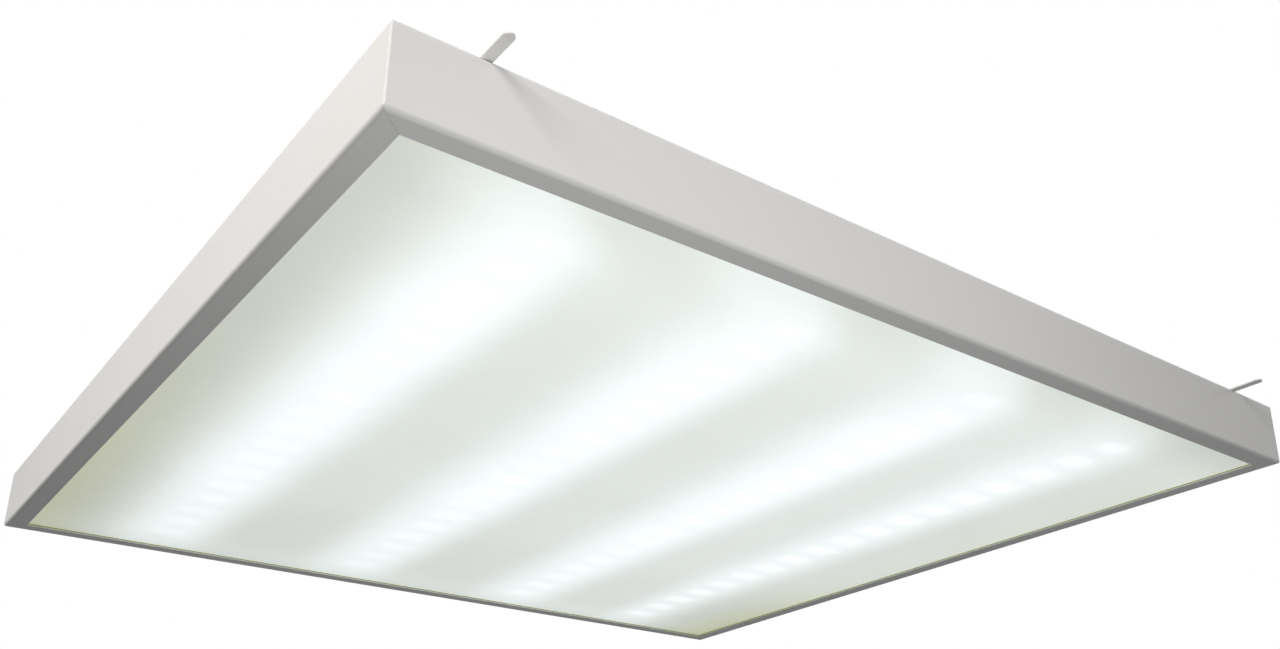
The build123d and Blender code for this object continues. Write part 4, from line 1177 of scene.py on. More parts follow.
@dataclass(frozen=True)
class OpalSheet(Finish):
    """Opal sheet that glows where the rows of light points behind it shine through.

    The pattern is laid out in millimetres on the sheet. Each row makes a narrow bright line
    with a wide skirt, and the light falls off towards the edges and the far end. The lines
    and skirts are the lamp's own light. The skirts' longer reach towards -X, their lean there
    at the -Y end and their narrowing towards +Y are a painted forward-scatter glow, as the
    sheet looks from the -X, -Y side.

    Attributes:
        rows: the middle of each bright line along X.
        pitch: the pitch of the light points along a row.
        skirts: the strength of each row's skirt.
        skirts_left: how far each row's skirt reaches towards -X; what it reaches past the right
            reach is painted forward-scatter glow.
        skirt_right: how far a skirt reaches towards +X.
        skirt_narrowing: what the left reach gains per millimetre along Y, a painted narrowing of
            the glow.
        skirt_near: the share of a skirt's strength that is left near the -Y end.
        skirt_far: the share that is left near the +Y end.
        skirt_lean: how far a skirt is shifted along X at its -Y end, a painted lean of the glow.
        cores: the strength of each bright line.
        core_width: half the width of a bright line.
        row_end: half the length of a row.
        row_blend: half the length over which a row ends.
        level: the light between two rows, along Y.
        level_slope: what it gains per millimetre along X.
        level_near: what is added to it near the -Y edge.
        level_far: what is added to it near the +Y edge.
        edges_x: the shares of light that are left near the edges, along X.
        edges_y: the same along Y.
        corners: the shares that are taken away near two corners.
        dim: how far the light turns to the edge tint, near the left and the right edge.
        whitening: the light at which its colour turns from the dim tint to the bright one.
        bright_tint: the colour of the light where it is strongest.
        dim_tint: its colour where it is weakest.
        edge_tint: what the colour is multiplied by in the dim corners.
        fade: the share by which the sheet's own colour drifts.
        light_fade: the share by which its light drifts.
        light_grain: the share by which its light changes with the grain.
        smear: what a smear adds to the roughness.
        gloss: the Specular IOR Level of its surface.
        grain_depth: the height of its satin grain.
    """

    rows: tuple[float, ...] = ()
    pitch: float = LIGHT_PITCH
    skirts: tuple[float, ...] = (0.25, 0.232, 0.225, 0.165)
    skirts_left: tuple[float, ...] = (42.0, 42.0, 42.0, 32.0)
    skirt_right: float = 28.5
    skirt_narrowing: float = -0.027
    skirt_near: Ramp = Ramp(-292.0, -150.0, 0.62, 1.0)
    skirt_far: Ramp = Ramp(230.0, 300.0, 1.0, 0.3)
    skirt_lean: Ramp = Ramp(-292.0, -245.0, -30.0, 0.0)
    cores: tuple[float, ...] = (0.05, 0.06, 0.065, 0.11)
    core_width: float = 12.5
    row_end: float = 259.0
    row_blend: float = 7.0
    level: Ramp = Ramp(50.0, 225.0, 0.612, 0.562)
    level_slope: float = 0.00016
    level_near: Ramp = Ramp(-280.0, -235.0, -0.035, 0.0)
    level_far: Ramp = Ramp(230.0, 275.0, 0.0, 0.035)
    edges_x: tuple[Ramp, Ramp] = (Ramp(-292.0, -215.0, 0.7, 1.0), Ramp(190.0, 240.0, 1.0, 0.89))
    edges_y: tuple[Ramp, Ramp] = (Ramp(262.0, 290.0, 1.0, 0.96), Ramp(-292.0, -262.0, 0.92, 1.0))
    corners: tuple[Patch, Patch] = (
        Patch(Ramp(190.0, 290.0), Ramp(60.0, 290.0), 0.25),
        Patch(Ramp(20.0, 230.0), Ramp(-295.0, -235.0, 1.0, 0.0), 0.14),
    )
    dim: tuple[Patch, Patch] = (
        Patch(Ramp(-290.0, -236.0, 1.0, 0.0), Ramp(-180.0, 200.0, 0.25, 1.0)),
        Patch(Ramp(220.0, 288.0), Ramp(40.0, 270.0, 0.15, 1.0)),
    )
    whitening: tuple[float, float] = (0.5, 0.8)
    bright_tint: Colour = (0.94, 1.0, 0.995)
    dim_tint: Colour = (0.942, 1.0, 0.943)
    edge_tint: Colour = (1.0, 0.985, 0.71)
    fade: float = 0.015
    light_fade: float = 0.012
    light_grain: float = 0.006
    smear: float = 0.06
    gloss: float = 0.35
    grain_depth: float = 0.00006

    def dress(self, canvas: Canvas, shader: bpy.types.NodeInputs) -> None:
        """Writes the sheet: its light, and the satin milky surface that the light leaves.

        Args:
            canvas: the material's canvas.
            shader: the inputs of its Principled shader.
        """
        place = canvas.place()
        x, y, _ = canvas.parts(canvas.vector("MULTIPLY", place, (1.0 / MM,) * 3))
        drift = canvas.effect("drift", Place=place, Patches=14.0).outputs
        grain = canvas.effect("grain", Place=place, Grains=330.0).outputs
        light = canvas.total(self.gaps(canvas, x, y), *self.lit_rows(canvas, x, y))
        light = canvas.product(light, self.edges(canvas, x, y))
        drifting = canvas.math("MULTIPLY_ADD", drift["Tone"], self.light_fade, 1.0)
        grained = canvas.math("MULTIPLY_ADD", grain["Tone"], self.light_grain, 1.0)
        light = canvas.product(light, drifting, grained)
        colour = canvas.vector("MULTIPLY", self.tint(canvas, x, y, light), self.grey(canvas, light))
        canvas.feed(shader["Emission Color"], colour)
        canvas.feed(shader["Emission Strength"], 1.0)
        canvas.feed(shader["Base Color"], self.toned(canvas, drift["Tone"], self.fade))
        canvas.feed(shader["Roughness"], self.roughened(canvas, drift["Smear"], self.smear))
        canvas.feed(shader["Specular IOR Level"], self.gloss)
        canvas.feed(shader["Normal"], canvas.bump(grain["Height"], self.grain_depth))

    def grey(self, canvas: Canvas, value: Socket) -> Socket:
        """A number as a vector of three equal parts.

        Args:
            canvas: the material's canvas.
            value: the number.

        Returns:
            The vector.
        """
        node = canvas.add("ShaderNodeCombineXYZ")
        for target in node.inputs:
            canvas.feed(target, value)
        return node.outputs[0]

    def tint(self, canvas: Canvas, x: Socket, y: Socket, light: Socket) -> Socket:
        """The colour of the light: whiter where it is strong, and yellower in the dim corners.

        Args:
            canvas: the material's canvas.
            x: the place along X.
            y: the place along Y.
            light: the strength of the light.

        Returns:
            The colour.
        """
        strong = canvas.step(light, *self.whitening)
        colour = canvas.mix(strong, tinted(self.dim_tint), tinted(self.bright_tint))
        dimness = canvas.math("MAXIMUM", *(patch.over(canvas, x, y) for patch in self.dim))
        return canvas.vector("MULTIPLY", colour, canvas.mix(dimness, WHITE, tinted(self.edge_tint)))

    def gaps(self, canvas: Canvas, x: Socket, y: Socket) -> Socket:
        """The light between the rows, which rises along X and dips at both ends.

        Args:
            canvas: the material's canvas.
            x: the place along X.
            y: the place along Y.

        Returns:
            The light.
        """
        return canvas.total(
            self.level.over(canvas, y),
            canvas.product(x, self.level_slope),
            self.level_far.over(canvas, y),
            self.level_near.over(canvas, y),
        )

    def lit_rows(self, canvas: Canvas, x: Socket, y: Socket) -> list[Socket]:
        """The light of each row: a flat-topped line with points in it, and a skirt round it.

        Args:
            canvas: the material's canvas.
            x: the place along X.
            y: the place along Y.

        Returns:
            One number for each row.
        """
        wave = canvas.math("COSINE", canvas.product(y, math.tau / self.pitch))
        points = canvas.math("MULTIPLY_ADD", wave, -0.5, 0.5)
        row = Ramp(self.row_end - self.row_blend, self.row_end + self.row_blend, 1.0, 0.0)
        row_points = canvas.product(points, row.over(canvas, canvas.math("ABSOLUTE", y)))
        strength = canvas.product(self.skirt_far.over(canvas, y), self.skirt_near.over(canvas, y))
        lean = self.skirt_lean.over(canvas, y)
        lit = []
        for middle, skirt, core, left in zip(self.rows, self.skirts, self.cores, self.skirts_left):
            beside = canvas.math("SUBTRACT", x, middle)
            line = canvas.bell(beside, self.core_width, 4.0)
            # Painted forward-scatter glow: the skirt leans towards -X at the -Y end and reaches
            # further to -X.
            leaning = canvas.math("SUBTRACT", beside, lean)
            on_left = canvas.math("LESS_THAN", leaning, 0.0)
            wider = left - self.skirt_right
            widening = canvas.math("MULTIPLY_ADD", y, self.skirt_narrowing, wider)
            reach = canvas.math("MULTIPLY_ADD", on_left, widening, self.skirt_right)
            glow = canvas.product(canvas.bell(leaning, reach, 3.0), strength, skirt)
            lit.append(canvas.math("MULTIPLY_ADD", canvas.product(line, row_points), core, glow))
        return lit

    def edges(self, canvas: Canvas, x: Socket, y: Socket) -> Socket:
        """The share of light that is left near the sheet's edges and corners.

        Args:
            canvas: the material's canvas.
            x: the place along X.
            y: the place along Y.

        Returns:
            The share.
        """
        taken = canvas.total(*(patch.over(canvas, x, y) for patch in self.corners))
        return canvas.product(
            *(edge.over(canvas, x) for edge in self.edges_x),
            *(edge.over(canvas, y) for edge in self.edges_y),
            canvas.math("SUBTRACT", 1.0, taken),
        )


class FinishBook:
    """Gives each material slot of the record its material, made once.

    Args:
        record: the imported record.
        finishes: the finishes, one for each slot.
    """

    def __init__(self, record: dict, finishes: list[Finish]) -> None:
        """Makes every material and keeps the slot of each node."""
        self.made = {finish.slot: finish.material() for finish in finishes}
        self.slots = {part["node"]: part["material_slot"] for part in record["subparts"]}

    def dress(self, *names: str) -> None:
        """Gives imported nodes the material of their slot.

        Args:
            names: the nodes' names.
        """
        for name in names:
            piece = frame["nodes"][name]
            piece.data.materials.clear()
            piece.data.materials.append(self.made[self.slots[name]])
            log.info("dressed %s in %s", name, self.slots[name])

    def finish_piece(self, piece: bpy.types.Object, slot: str, body: str, *nodes: str) -> None:
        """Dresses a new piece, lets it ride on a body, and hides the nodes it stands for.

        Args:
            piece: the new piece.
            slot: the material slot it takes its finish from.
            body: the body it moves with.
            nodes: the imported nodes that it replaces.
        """
        piece.data.materials.append(self.made[slot])
        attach(piece, body)
        if nodes:
            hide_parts(*nodes)
        log.info("built %s, %d faces, in %s", piece.name, len(piece.data.polygons), slot)


# ------------------------------------------------------------------ sub-assemblies
@dataclass
class SubAssembly:
    """A group of pieces that are built and dressed together.

    Attributes:
        book: the finishes.
    """

    book: FinishBook

    def build(self) -> None:
        """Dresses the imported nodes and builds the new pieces. Each group has its own."""
        raise NotImplementedError

    def add(self, skin: Skin, name: str, node: str) -> None:
        """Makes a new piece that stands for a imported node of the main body.

        Args:
            skin: the surface.
            name: the piece's name.
            node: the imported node, whose slot it takes.
        """
        self.book.finish_piece(skin.piece(name), self.book.slots[node], MAIN_BODY, node)


@dataclass
class Housing(SubAssembly):
    """Folded steel housing, the cover on its back, and the screws that hold the cover.

    Attributes:
        screw: a cover screw, whose low head stays behind the housing's edge.
        screw_step: the distance between two screws along a side, in millimetres.
    """

    screw: PanScrew = PanScrew(2.6, 1.1, 1.45, 5.0, pitch=1.1, point=1.6)
    screw_step: float = 200.0

    def build(self) -> None:
        """Dresses the sheet metal and drives three screws along each side."""
        self.book.dress("housing_frame", "back_cover")
        low, high = box_mm("cover_screws")
        along = np.array((-1.0, 0.0, 1.0)) * self.screw_step
        across = np.full_like(along, high[0] - self.screw.head_radius)
        seat = np.full_like(along, low[2] + self.screw.length)
        sides = ((along, across), (along, -across), (across, along), (-across, along))
        spots = np.concatenate([np.column_stack((x, y, seat)) for x, y in sides])
        self.add(self.screw.skin().at(spots), "screws_cover", "cover_screws")


@dataclass
class LightSheet(SubAssembly):
    """Opal sheet on its frame of mounting tape."""

    def build(self) -> None:
        """Dresses both."""
        self.book.dress("diffuser", "diffuser_tape")


@dataclass
class LightStrips(SubAssembly):
    """Strip boards with their light points, connectors and rivets.

    Attributes:
        rivet: a strip rivet, its head under the board and its bulb on the cover.
        rivet_steps: the rivets' places along a strip, in pitches of the light points.
        cover: the cover's thickness, in millimetres.
    """

    rivet: BlindRivet = BlindRivet(3.0, 0.9, 1.5, 2.2, 1.2)
    rivet_steps: tuple[int, ...] = (-8, -3, 3, 8)
    cover: float = 0.8

    def build(self) -> None:
        """Dresses the boards and sets the rivets."""
        self.book.dress(*(f"led_strip_{number}" for number in STRIPS))
        self.book.dress(*(f"led_chips_{number}" for number in STRIPS))
        jumpers = STRIPS[:-1]  # each joins a strip to the next
        self.book.dress("strip_connectors", *(f"jumper_lead_{number}" for number in jumpers))
        low, high = box_mm("led_strip_1")
        along = [step * LIGHT_PITCH for step in self.rivet_steps]
        spots = np.array([(x, y, 0.0) for x in strip_middles() for y in along])
        rivets = self.rivet.skin(low[2], high[2] + self.cover).at(spots)
        self.add(rivets, "rivets_strip", "strip_rivets")


@dataclass
class HoldDownTabs(SubAssembly):
    """Tabs that turn out over the ceiling grid, each on a rivet with a wave washer.

    Attributes:
        tabs: how many tabs there are.
        rivet: a tab's rivet, its head on top and its bulb under the cover.
        washer_radii: the wave washer's outer and inner radius, in millimetres.
        washer_sheet: its thickness.
        waves: how many waves it has.
    """

    tabs: int = 4
    rivet: BlindRivet = BlindRivet(3.2, 1.2, 1.5, 2.3, 1.2)
    washer_radii: tuple[float, float] = (3.7, 1.62)
    washer_sheet: float = 0.2
    waves: int = 3

    def washer(self, low: float, high: float) -> Skin:
        """A wave washer: a flat ring whose height follows a cosine of its angle.

        Args:
            low: the height of its troughs' underside.
            high: the height of its crests.

        Returns:
            The surface.
        """
        outer, inner = self.washer_radii
        sheet = self.washer_sheet
        profile = np.array(((outer, 0.0), (outer, sheet), (inner, sheet), (inner, 0.0)))
        angles = np.linspace(0.0, math.tau, 48, endpoint=False)[None]
        swing = (high - low - sheet) / 2.0
        wave = low + swing * (1.0 + np.cos(angles * self.waves))
        return Skin.of_rings(polar(profile[:, :1], angles, profile[:, 1:] + wave), loop=True)

    def build(self) -> None:
        """Dresses the tabs, and sets a washer and a rivet on each."""
        self.book.dress(*(f"hold_down_tab_{number}" for number in range(1, self.tabs + 1)))
        low, high = box_mm("tab_washers")
        spots = corner_spots("tab_rivets", self.rivet.head_radius, 0.0)
        self.add(self.washer(low[2], high[2]).at(spots), "washers_tab", "tab_washers")
        far = box_mm("tab_rivets")[0][2] + self.rivet.bulb_height
        self.add(self.rivet.skin(high[2], far).at(spots), "rivets_tab", "tab_rivets")


@dataclass
class DriverCase(SubAssembly):
    """Moulded case of the driver, its lid screws and its fixing screws.

    Attributes:
        lid_screw: a lid screw.
        fixing_screw: a fixing screw.
    """

    lid_screw: PanScrew = PanScrew(2.3, 1.3, 1.2, 9.0, pitch=1.0, point=1.4)
    fixing_screw: PanScrew = PanScrew(3.6, 2.4, 1.9, 6.0, pitch=1.3, point=2.0)

    def build(self) -> None:
        """Dresses the case and drives its screws."""
        self.book.dress("driver_base", "driver_lid")
        self.add(self.lid_screw.on("lid_screws"), "screws_lid", "lid_screws")
        self.add(self.fixing_screw.on("driver_screws"), "screws_driver", "driver_screws")


@dataclass
class DriverElectronics(SubAssembly):
    """Circuit board of the driver and what stands on it.

    Attributes:
        wire_radius: the radius of the choke's wire, in millimetres.
        turns: turns in each of its two windings.
        arc: the angle that a winding covers, in degrees.
        core_inner: the inner radius of the ring core.
        gap: the gap from the core to the wire.
    """

    wire_radius: float = 0.45
    turns: int = 8
    arc: float = 112.0
    core_inner: float = 4.5
    gap: float = 0.18

    def winding(self, start: float) -> Skin:
        """One winding of the choke.

        The wire's middle goes round the core's section on a squircle of power 8, while it
        moves along the ring core at a steady angle. A circle is carried along that path.

        Args:
            start: the angle at which the winding begins, in degrees.

        Returns:
            The surface of the wire.
        """
        low, high = box_mm("choke_core")
        middle = (low + high) / 2.0
        outer = (high[0] - low[0]) / 2.0
        room = self.gap + self.wire_radius
        half = np.array((outer - self.core_inner, high[2] - low[2])) / 2.0 + room
        per_turn, power = 24, 8.0
        steps = np.linspace(0.0, self.turns, self.turns * per_turn + 1)
        round_core = steps * math.tau
        round_ring = np.radians(start + self.arc * steps / self.turns)
        section = np.stack((np.cos(round_core), np.sin(round_core)))
        section = np.sign(section) * np.abs(section) ** (2.0 / power) * half[:, None]
        path = middle + polar((outer + self.core_inner) / 2.0 + section[0], round_ring, section[1])
        ahead = np.gradient(path, axis=0)
        ahead /= np.linalg.norm(ahead, axis=1, keepdims=True)
        quarter_on = round_ring + math.pi / 2
        ring_way = polar(np.ones_like(round_ring), quarter_on, np.zeros_like(round_ring))
        first = np.cross(ahead, ring_way)
        first /= np.linalg.norm(first, axis=1, keepdims=True)
        second = np.cross(ahead, first)
        turn = np.linspace(0.0, math.tau, 8, endpoint=False)[None, :, None]
        around = np.cos(turn) * first[:, None] + np.sin(turn) * second[:, None]
        return Skin.of_rings(path[:, None] + self.wire_radius * around)

    def build(self) -> None:
        """Dresses the electronics and winds the choke."""
        self.book.dress("circuit_board", "input_terminal", "output_terminal")
        self.book.dress("transformer_core", "transformer_winding", "choke_core")
        self.book.dress("bulk_capacitors", "output_capacitors", "film_capacitor")
        self.book.dress("heat_sink", "power_transistors")
        starts = (-self.arc / 2.0, 180.0 - self.arc / 2.0)
        windings = Skin.joined([self.winding(start) for start in starts])
        self.add(windings, "turns_choke", "choke_windings")


@dataclass
class MainsTerminal(SubAssembly):
    """Terminal block for the mains, with a push button for each of its three clamps.

    Attributes:
        screw: a fixing screw.
    """

    screw: PanScrew = PanScrew(2.8, 1.8, 1.45, 6.0, pitch=1.1, point=1.6)

    def build(self) -> None:
        """Dresses the block and its buttons, and drives its screws."""
        self.book.dress("terminal_insulator", "terminal_block", "terminal_clamps")
        self.book.dress(*(f"release_button_{pole.value}" for pole in Pole))
        self.add(self.screw.on("terminal_screws"), "screws_terminal", "terminal_screws")


@dataclass
class EarthPoint(SubAssembly):
    """Lug, washer, screw and nut that join the earth lead to the cover.

    Attributes:
        screw: the earth screw.
    """

    screw: PanScrew = PanScrew(3.8, 2.6, 2.0, 7.0)

    def build(self) -> None:
        """Dresses the metal parts and drives the screw."""
        self.book.dress("earth_lug", "earth_washer", "earth_nut")
        self.add(self.screw.on("earth_screw"), "screw_earth", "earth_screw")


@dataclass
class Wiring(SubAssembly):
    """Leads between the parts, their clips, and the grommet where two of them pass the cover.

    Attributes:
        bore: the radius of the grommet's bore, in millimetres.
        groove: the radius of its groove, which the cover sits in.
        flange: the thickness of each flange.
        lip: the radius of its rounded rims.
    """

    bore: float = 3.8
    groove: float = 5.6
    flange: float = 1.2
    lip: float = 0.5

    def grommet(self) -> Skin:
        """The grommet: a ring with a groove, whose rims are quarter circles.

        Returns:
            The surface, turned about the middle of its node's box.
        """
        low, high = box_mm("grommet")
        outer = (high[0] - low[0]) / 2.0
        bottom, top = low[2], high[2]
        quarter = np.linspace(0.0, math.pi / 2, 5)
        round_in, round_out = self.lip * np.sin(quarter), self.lip * (1.0 - np.cos(quarter))
        lower = np.column_stack((outer - self.lip + round_in, bottom + round_out))
        upper = np.column_stack((outer - self.lip + round_in, top - round_out))[::-1]
        inner_top = np.column_stack((self.bore + self.lip - round_in, top - round_out))
        inner_low = np.column_stack((self.bore + self.lip - round_in, bottom + round_out))[::-1]
        groove_low, groove_top = bottom + self.flange, top - self.flange
        groove = np.array(
            (
                (outer, groove_low),
                (self.groove, groove_low),
                (self.groove, groove_top),
                (outer, groove_top),
            )
        )
        profile = np.concatenate((lower, groove, upper, inner_top, inner_low))
        middle = (low + high) / 2.0 * (1.0, 1.0, 0.0)
        return Skin.turned(profile, 36, loop=True).at(middle[None])

    def build(self) -> None:
        """Dresses the leads and their clips, and fits the grommet."""
        self.book.dress("output_lead_plus", "output_lead_minus")
        self.book.dress(*(f"{pole.value}_lead" for pole in Pole), "lead_clips")
        self.add(self.grommet(), "grommet_ring", "grommet")


# ------------------------------------------------------------------ studio
@dataclass(frozen=True)
class Lamp:
    """Square soft lamp, which shows neither itself nor its mirror image.

    Attributes:
        name: the lamp's name.
        place: where it hangs.
        target: the point that it faces.
        side: the length of its side.
        power: its power in watts.
        colour: the colour of its light.
    """

    name: str
    place: tuple[float, float, float]
    target: tuple[float, float, float]
    side: float
    power: float
    colour: Colour = WHITE[:3]

    def hang(self) -> None:
        """Hangs the lamp in the room."""
        data = bpy.data.lights.new(self.name, "AREA")
        data.shape = "SQUARE"
        data.size = self.side
        data.energy = self.power
        data.color = self.colour
        lamp = bpy.data.objects.new(self.name, data)
        turn = (Vector(self.target) - Vector(self.place)).to_track_quat("-Z", "Y")
        lamp.matrix_world = Matrix.Translation(self.place) @ turn.to_matrix().to_4x4()
        lamp.visible_camera = False
        lamp.visible_glossy = False
        bpy.context.scene.collection.objects.link(lamp)


@dataclass
class Studio:
    """The white room: camera, lamps, world and floor. None of it is part of the light.

    Angles are in degrees, and pixels are those of a frame 1280 pixels wide and 649 high.

    Attributes:
        frame_pixels: the frame's width and height.
        camera_place: where the camera stands.
        heading: the way it looks, from +X towards +Y.
        rise: how far it looks up.
        lean: how far it is turned about its own view.
        focal_pixels: its focal length.
        middle_pixels: where its own axis meets the frame.
        sensor_mm: the width of its sensor.
        clip_start: the distance from which it sees.
        floor_drop: how far the floor lies below the lit side.
        floor_reach: the radius of the floor, which is round.
        floor_seen: the floor's light where it is seen, which rises to white far out.
        floor_rise: the share of the radius at which that rise starts.
        floor_shade: the floor's colour, as it throws light back.
        ambient: the world's strength on the light itself.
        lamps: the lamps of the room.
    """

    frame_pixels: tuple[int, int] = (1280, 649)
    camera_place: tuple[float, float, float] = (-0.4454, -0.6734, -0.2809)
    heading: float = 50.27
    rise: float = 21.11
    lean: float = -1.05
    focal_pixels: float = 1305.6
    middle_pixels: tuple[float, float] = (749.0, 452.5)
    sensor_mm: float = 36.0
    clip_start: float = 0.01
    floor_drop: float = 1.15
    floor_reach: float = 13.0
    floor_seen: float = 0.46
    floor_rise: float = 0.38
    floor_shade: float = 0.12
    ambient: float = 0.22
    lamps: tuple[Lamp, ...] = (
        Lamp("key", (-1.25, -0.62, 0.62), (-0.25, -0.25, 0.0), 0.5, 15.0, (1.0, 0.97, 0.93)),
        Lamp("low_fill", (-0.25, -0.62, -0.45), (-0.2, -0.25, 0.0), 0.24, 1.5),
        Lamp("side_fill", (-0.12, -0.75, 0.1), (-0.12, -0.3, 0.02), 0.24, 0.44),
        Lamp("top", (1.1, 1.5, 1.7), (0.0, 0.0, 0.0), 0.9, 22.0),
    )

    def build(self) -> None:
        """Builds the room."""
        bpy.context.scene.view_settings.view_transform = "Standard"
        self.build_camera()
        self.build_world()
        self.build_floor()
        for lamp in self.lamps:
            lamp.hang()
        log.info("built the room")

    def build_camera(self) -> None:
        """Sets the camera up.

        Its view axis is (cos h cos r, sin h cos r, sin r) for the heading h and the rise r.
        """
        heading, rise, lean = np.radians((self.heading, self.rise, self.lean)).tolist()
        level = math.cos(rise)
        ahead = Vector((math.cos(heading) * level, math.sin(heading) * level, math.sin(rise)))
        side = ahead.cross(Vector((0.0, 0.0, 1.0))).normalized()
        top = side.cross(ahead)
        turned_side = side * math.cos(lean) + top * math.sin(lean)
        turned_top = top * math.cos(lean) - side * math.sin(lean)
        turn = Matrix((turned_side, turned_top, -ahead)).transposed()
        width, height = self.frame_pixels
        data = bpy.data.cameras.new("camera")
        data.sensor_width = self.sensor_mm
        data.lens = self.sensor_mm * self.focal_pixels / width
        data.shift_x = (width / 2 - self.middle_pixels[0]) / width
        data.shift_y = (self.middle_pixels[1] - height / 2) / width
        data.clip_start = self.clip_start
        camera = bpy.data.objects.new("camera", data)
        camera.matrix_world = Matrix.Translation(self.camera_place) @ turn.to_4x4()
        bpy.context.scene.collection.objects.link(camera)
        bpy.context.scene.camera = camera

    def seen_share(self, canvas: Canvas) -> Socket:
        """Tells what is seen from the light that is thrown on a piece.

        Args:
            canvas: the canvas of the world or of a material.

        Returns:
            1 for what the camera sees, straight or in gloss or glass, and 0 for thrown light.
        """
        rays = canvas.add("ShaderNodeLightPath").outputs
        kinds = (rays[f"Is {kind} Ray"] for kind in ("Camera", "Glossy", "Transmission"))
        return canvas.math("MINIMUM", canvas.total(*kinds), 1.0)

    def build_world(self) -> None:
        """Makes the world: white where it is seen, and a plain grey on the light itself."""
        world = bpy.data.worlds.new("white room")
        world.use_nodes = True
        world.node_tree.nodes.clear()
        canvas = Canvas(world.node_tree)
        back = canvas.add("ShaderNodeBackground")
        canvas.feed(back.inputs["Color"], WHITE)
        seen = self.seen_share(canvas)
        strength = canvas.math("MULTIPLY_ADD", seen, 1.0 - self.ambient, self.ambient)
        canvas.feed(back.inputs["Strength"], strength)
        output = canvas.add("ShaderNodeOutputWorld")
        canvas.feed(output.inputs["Surface"], back.outputs[0])
        bpy.context.scene.world = world

    def build_floor(self) -> None:
        """Lays the floor: it throws back little light, and where it is seen it is near white."""
        turn = np.linspace(0.0, math.tau, 96, endpoint=False)
        reach = self.floor_reach
        drop = np.full_like(turn, -self.floor_drop)
        rim = np.column_stack((np.cos(turn) * reach, np.sin(turn) * reach, drop))
        mesh = bpy.data.meshes.new("floor")
        mesh.from_pydata(rim.tolist(), [], [tuple(range(len(turn)))])
        floor = bpy.data.objects.new("floor", mesh)
        bpy.context.scene.collection.objects.link(floor)
        made = bpy.data.materials.new("floor")
        made.use_nodes = True
        made.node_tree.nodes.clear()
        canvas = Canvas(made.node_tree)
        matt = canvas.add("ShaderNodeBsdfDiffuse")
        canvas.feed(matt.inputs["Color"], tinted(WHITE[:3], self.floor_shade))
        shine = canvas.add("ShaderNodeEmission")
        canvas.feed(shine.inputs["Color"], WHITE)
        away = canvas.vector("LENGTH", canvas.place())
        shade = canvas.step(away, reach * self.floor_rise, reach, self.floor_seen, 1.0)
        canvas.feed(shine.inputs["Strength"], canvas.product(self.seen_share(canvas), shade))
        both = canvas.add("ShaderNodeAddShader")
        canvas.feed(both.inputs[0], matt.outputs[0])
        canvas.feed(both.inputs[1], shine.outputs[0])
        output = canvas.add("ShaderNodeOutputMaterial")
        canvas.feed(output.inputs["Surface"], both.outputs[0])
        mesh.materials.append(made)


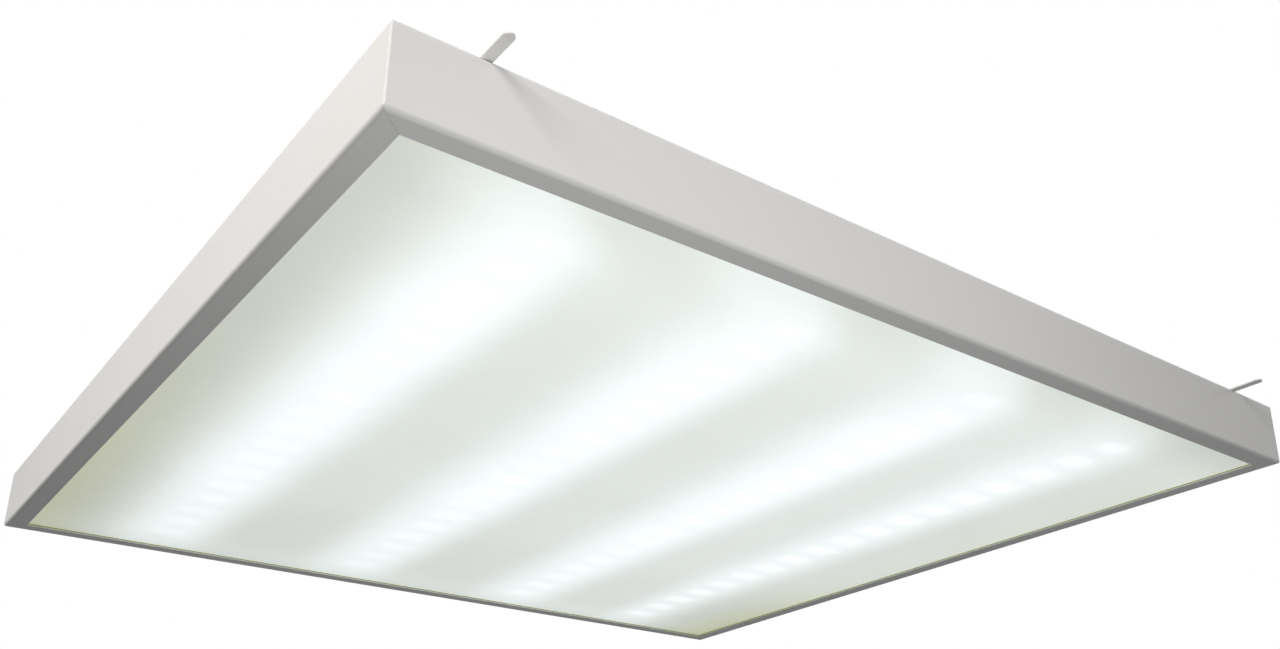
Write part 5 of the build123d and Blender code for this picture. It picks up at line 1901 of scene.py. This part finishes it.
def every_finish(light_rows: tuple[float, ...]) -> list[Finish]:
    """The finish of each material slot.

    Args:
        light_rows: the middle of each bright line along X, in millimetres.

    Returns:
        The finishes.
    """
    return [
        PowderCoat("white_powder_coat", (0.80, 0.795, 0.785), 0.36),
        Plated("zinc_steel", (0.62, 0.63, 0.64), 0.3),
        OpalSheet("opal_diffuser", (0.6, 0.62, 0.61), 0.42, rows=light_rows),
        Foam("foam_tape", (0.5, 0.52, 0.16), 0.8),
        Plated("rivet_aluminium", (0.76, 0.77, 0.78), 0.34, cast=(0.7, 0.71, 0.72), cells=1500.0),
        Moulded("white_nylon", (0.78, 0.78, 0.75), 0.45),
        Moulded("black_rubber", (0.025, 0.025, 0.026), 0.6, grains=2600.0, fade=0.15),
        Moulded("white_polycarbonate", (0.78, 0.78, 0.77), 0.4, grains=1700.0, grain_depth=0.00007),
        Laminate("green_laminate", (0.03, 0.17, 0.08), 0.3),
        Laminate("white_board", (0.84, 0.84, 0.82), 0.35, copper=(0.88, 0.88, 0.87), fields=70.0),
        LightPoint("led_package", (0.9, 0.74, 0.18), 0.4),
        Moulded("grey_nylon", (0.36, 0.37, 0.38), 0.42),
        Moulded("grey_fibre", (0.2, 0.21, 0.22), 0.75, 3200.0, 0.0001, fade=0.12),
        Moulded("ferrite", (0.045, 0.045, 0.05), 0.55, 3800.0, 0.00006, fade=0.2),
        Wound("yellow_tape", (0.72, 0.46, 0.04), 0.35, turns=500.0, metal=0.0),
        Wound("copper_wire", (0.78, 0.34, 0.16), 0.28),
        Moulded("capacitor_sleeve", (0.03, 0.03, 0.045), 0.28, grains=900.0, grain_depth=0.00001),
        Moulded("yellow_plastic", (0.8, 0.56, 0.05), 0.3, grains=1100.0),
        Plated("bare_aluminium", (0.74, 0.75, 0.76), 0.32, drawn=(1.0, 0.06, 1.0), cells=2400.0),
        Moulded("black_epoxy", (0.03, 0.03, 0.03), 0.5, grains=3000.0, fade=0.15),
        Plated("clamp_brass", (0.78, 0.58, 0.26), 0.3, cast=(0.7, 0.46, 0.2)),
        Plated("tinned_copper", (0.68, 0.66, 0.62), 0.28, cast=(0.6, 0.58, 0.56)),
        Plated("earth_brass", (0.8, 0.6, 0.26), 0.26, cast=(0.66, 0.46, 0.2)),
        Moulded("button_red", (0.6, 0.035, 0.025), 0.38),
        Moulded("button_blue", (0.025, 0.1, 0.45), 0.38),
        Moulded("button_green", (0.03, 0.3, 0.06), 0.38),
        Sleeve("lead_white", (0.8, 0.8, 0.78), 0.4),
        Sleeve("lead_red", (0.6, 0.03, 0.025), 0.38),
        Sleeve("lead_black", (0.025, 0.025, 0.025), 0.38),
        Sleeve("lead_brown", (0.16, 0.06, 0.025), 0.38),
        Sleeve("lead_blue", (0.03, 0.12, 0.5), 0.38),
        Sleeve("lead_green_yellow", (0.06, 0.36, 0.06), 0.38, stripe=(0.8, 0.66, 0.04)),
    ]


def main() -> None:
    """Builds the finishes, dresses each sub-assembly, and sets up the room."""
    logging.basicConfig(level=logging.INFO, format="%(name)s: %(message)s")
    for build_effect in (build_grain, build_drift, build_edge_wear, build_dust):
        build_effect()
    rows = tuple(middle + drift for middle, drift in zip(strip_middles(), ROW_DRIFTS))
    book = FinishBook(frame["record"], every_finish(rows))
    groups = (
        Housing,
        LightSheet,
        LightStrips,
        HoldDownTabs,
        DriverCase,
        DriverElectronics,
        MainsTerminal,
        EarthPoint,
        Wiring,
    )
    for group in groups:
        group(book).build()
        log.info("finished %s", group.__name__)
    Studio().build()


if __name__ == "__main__":
    main()
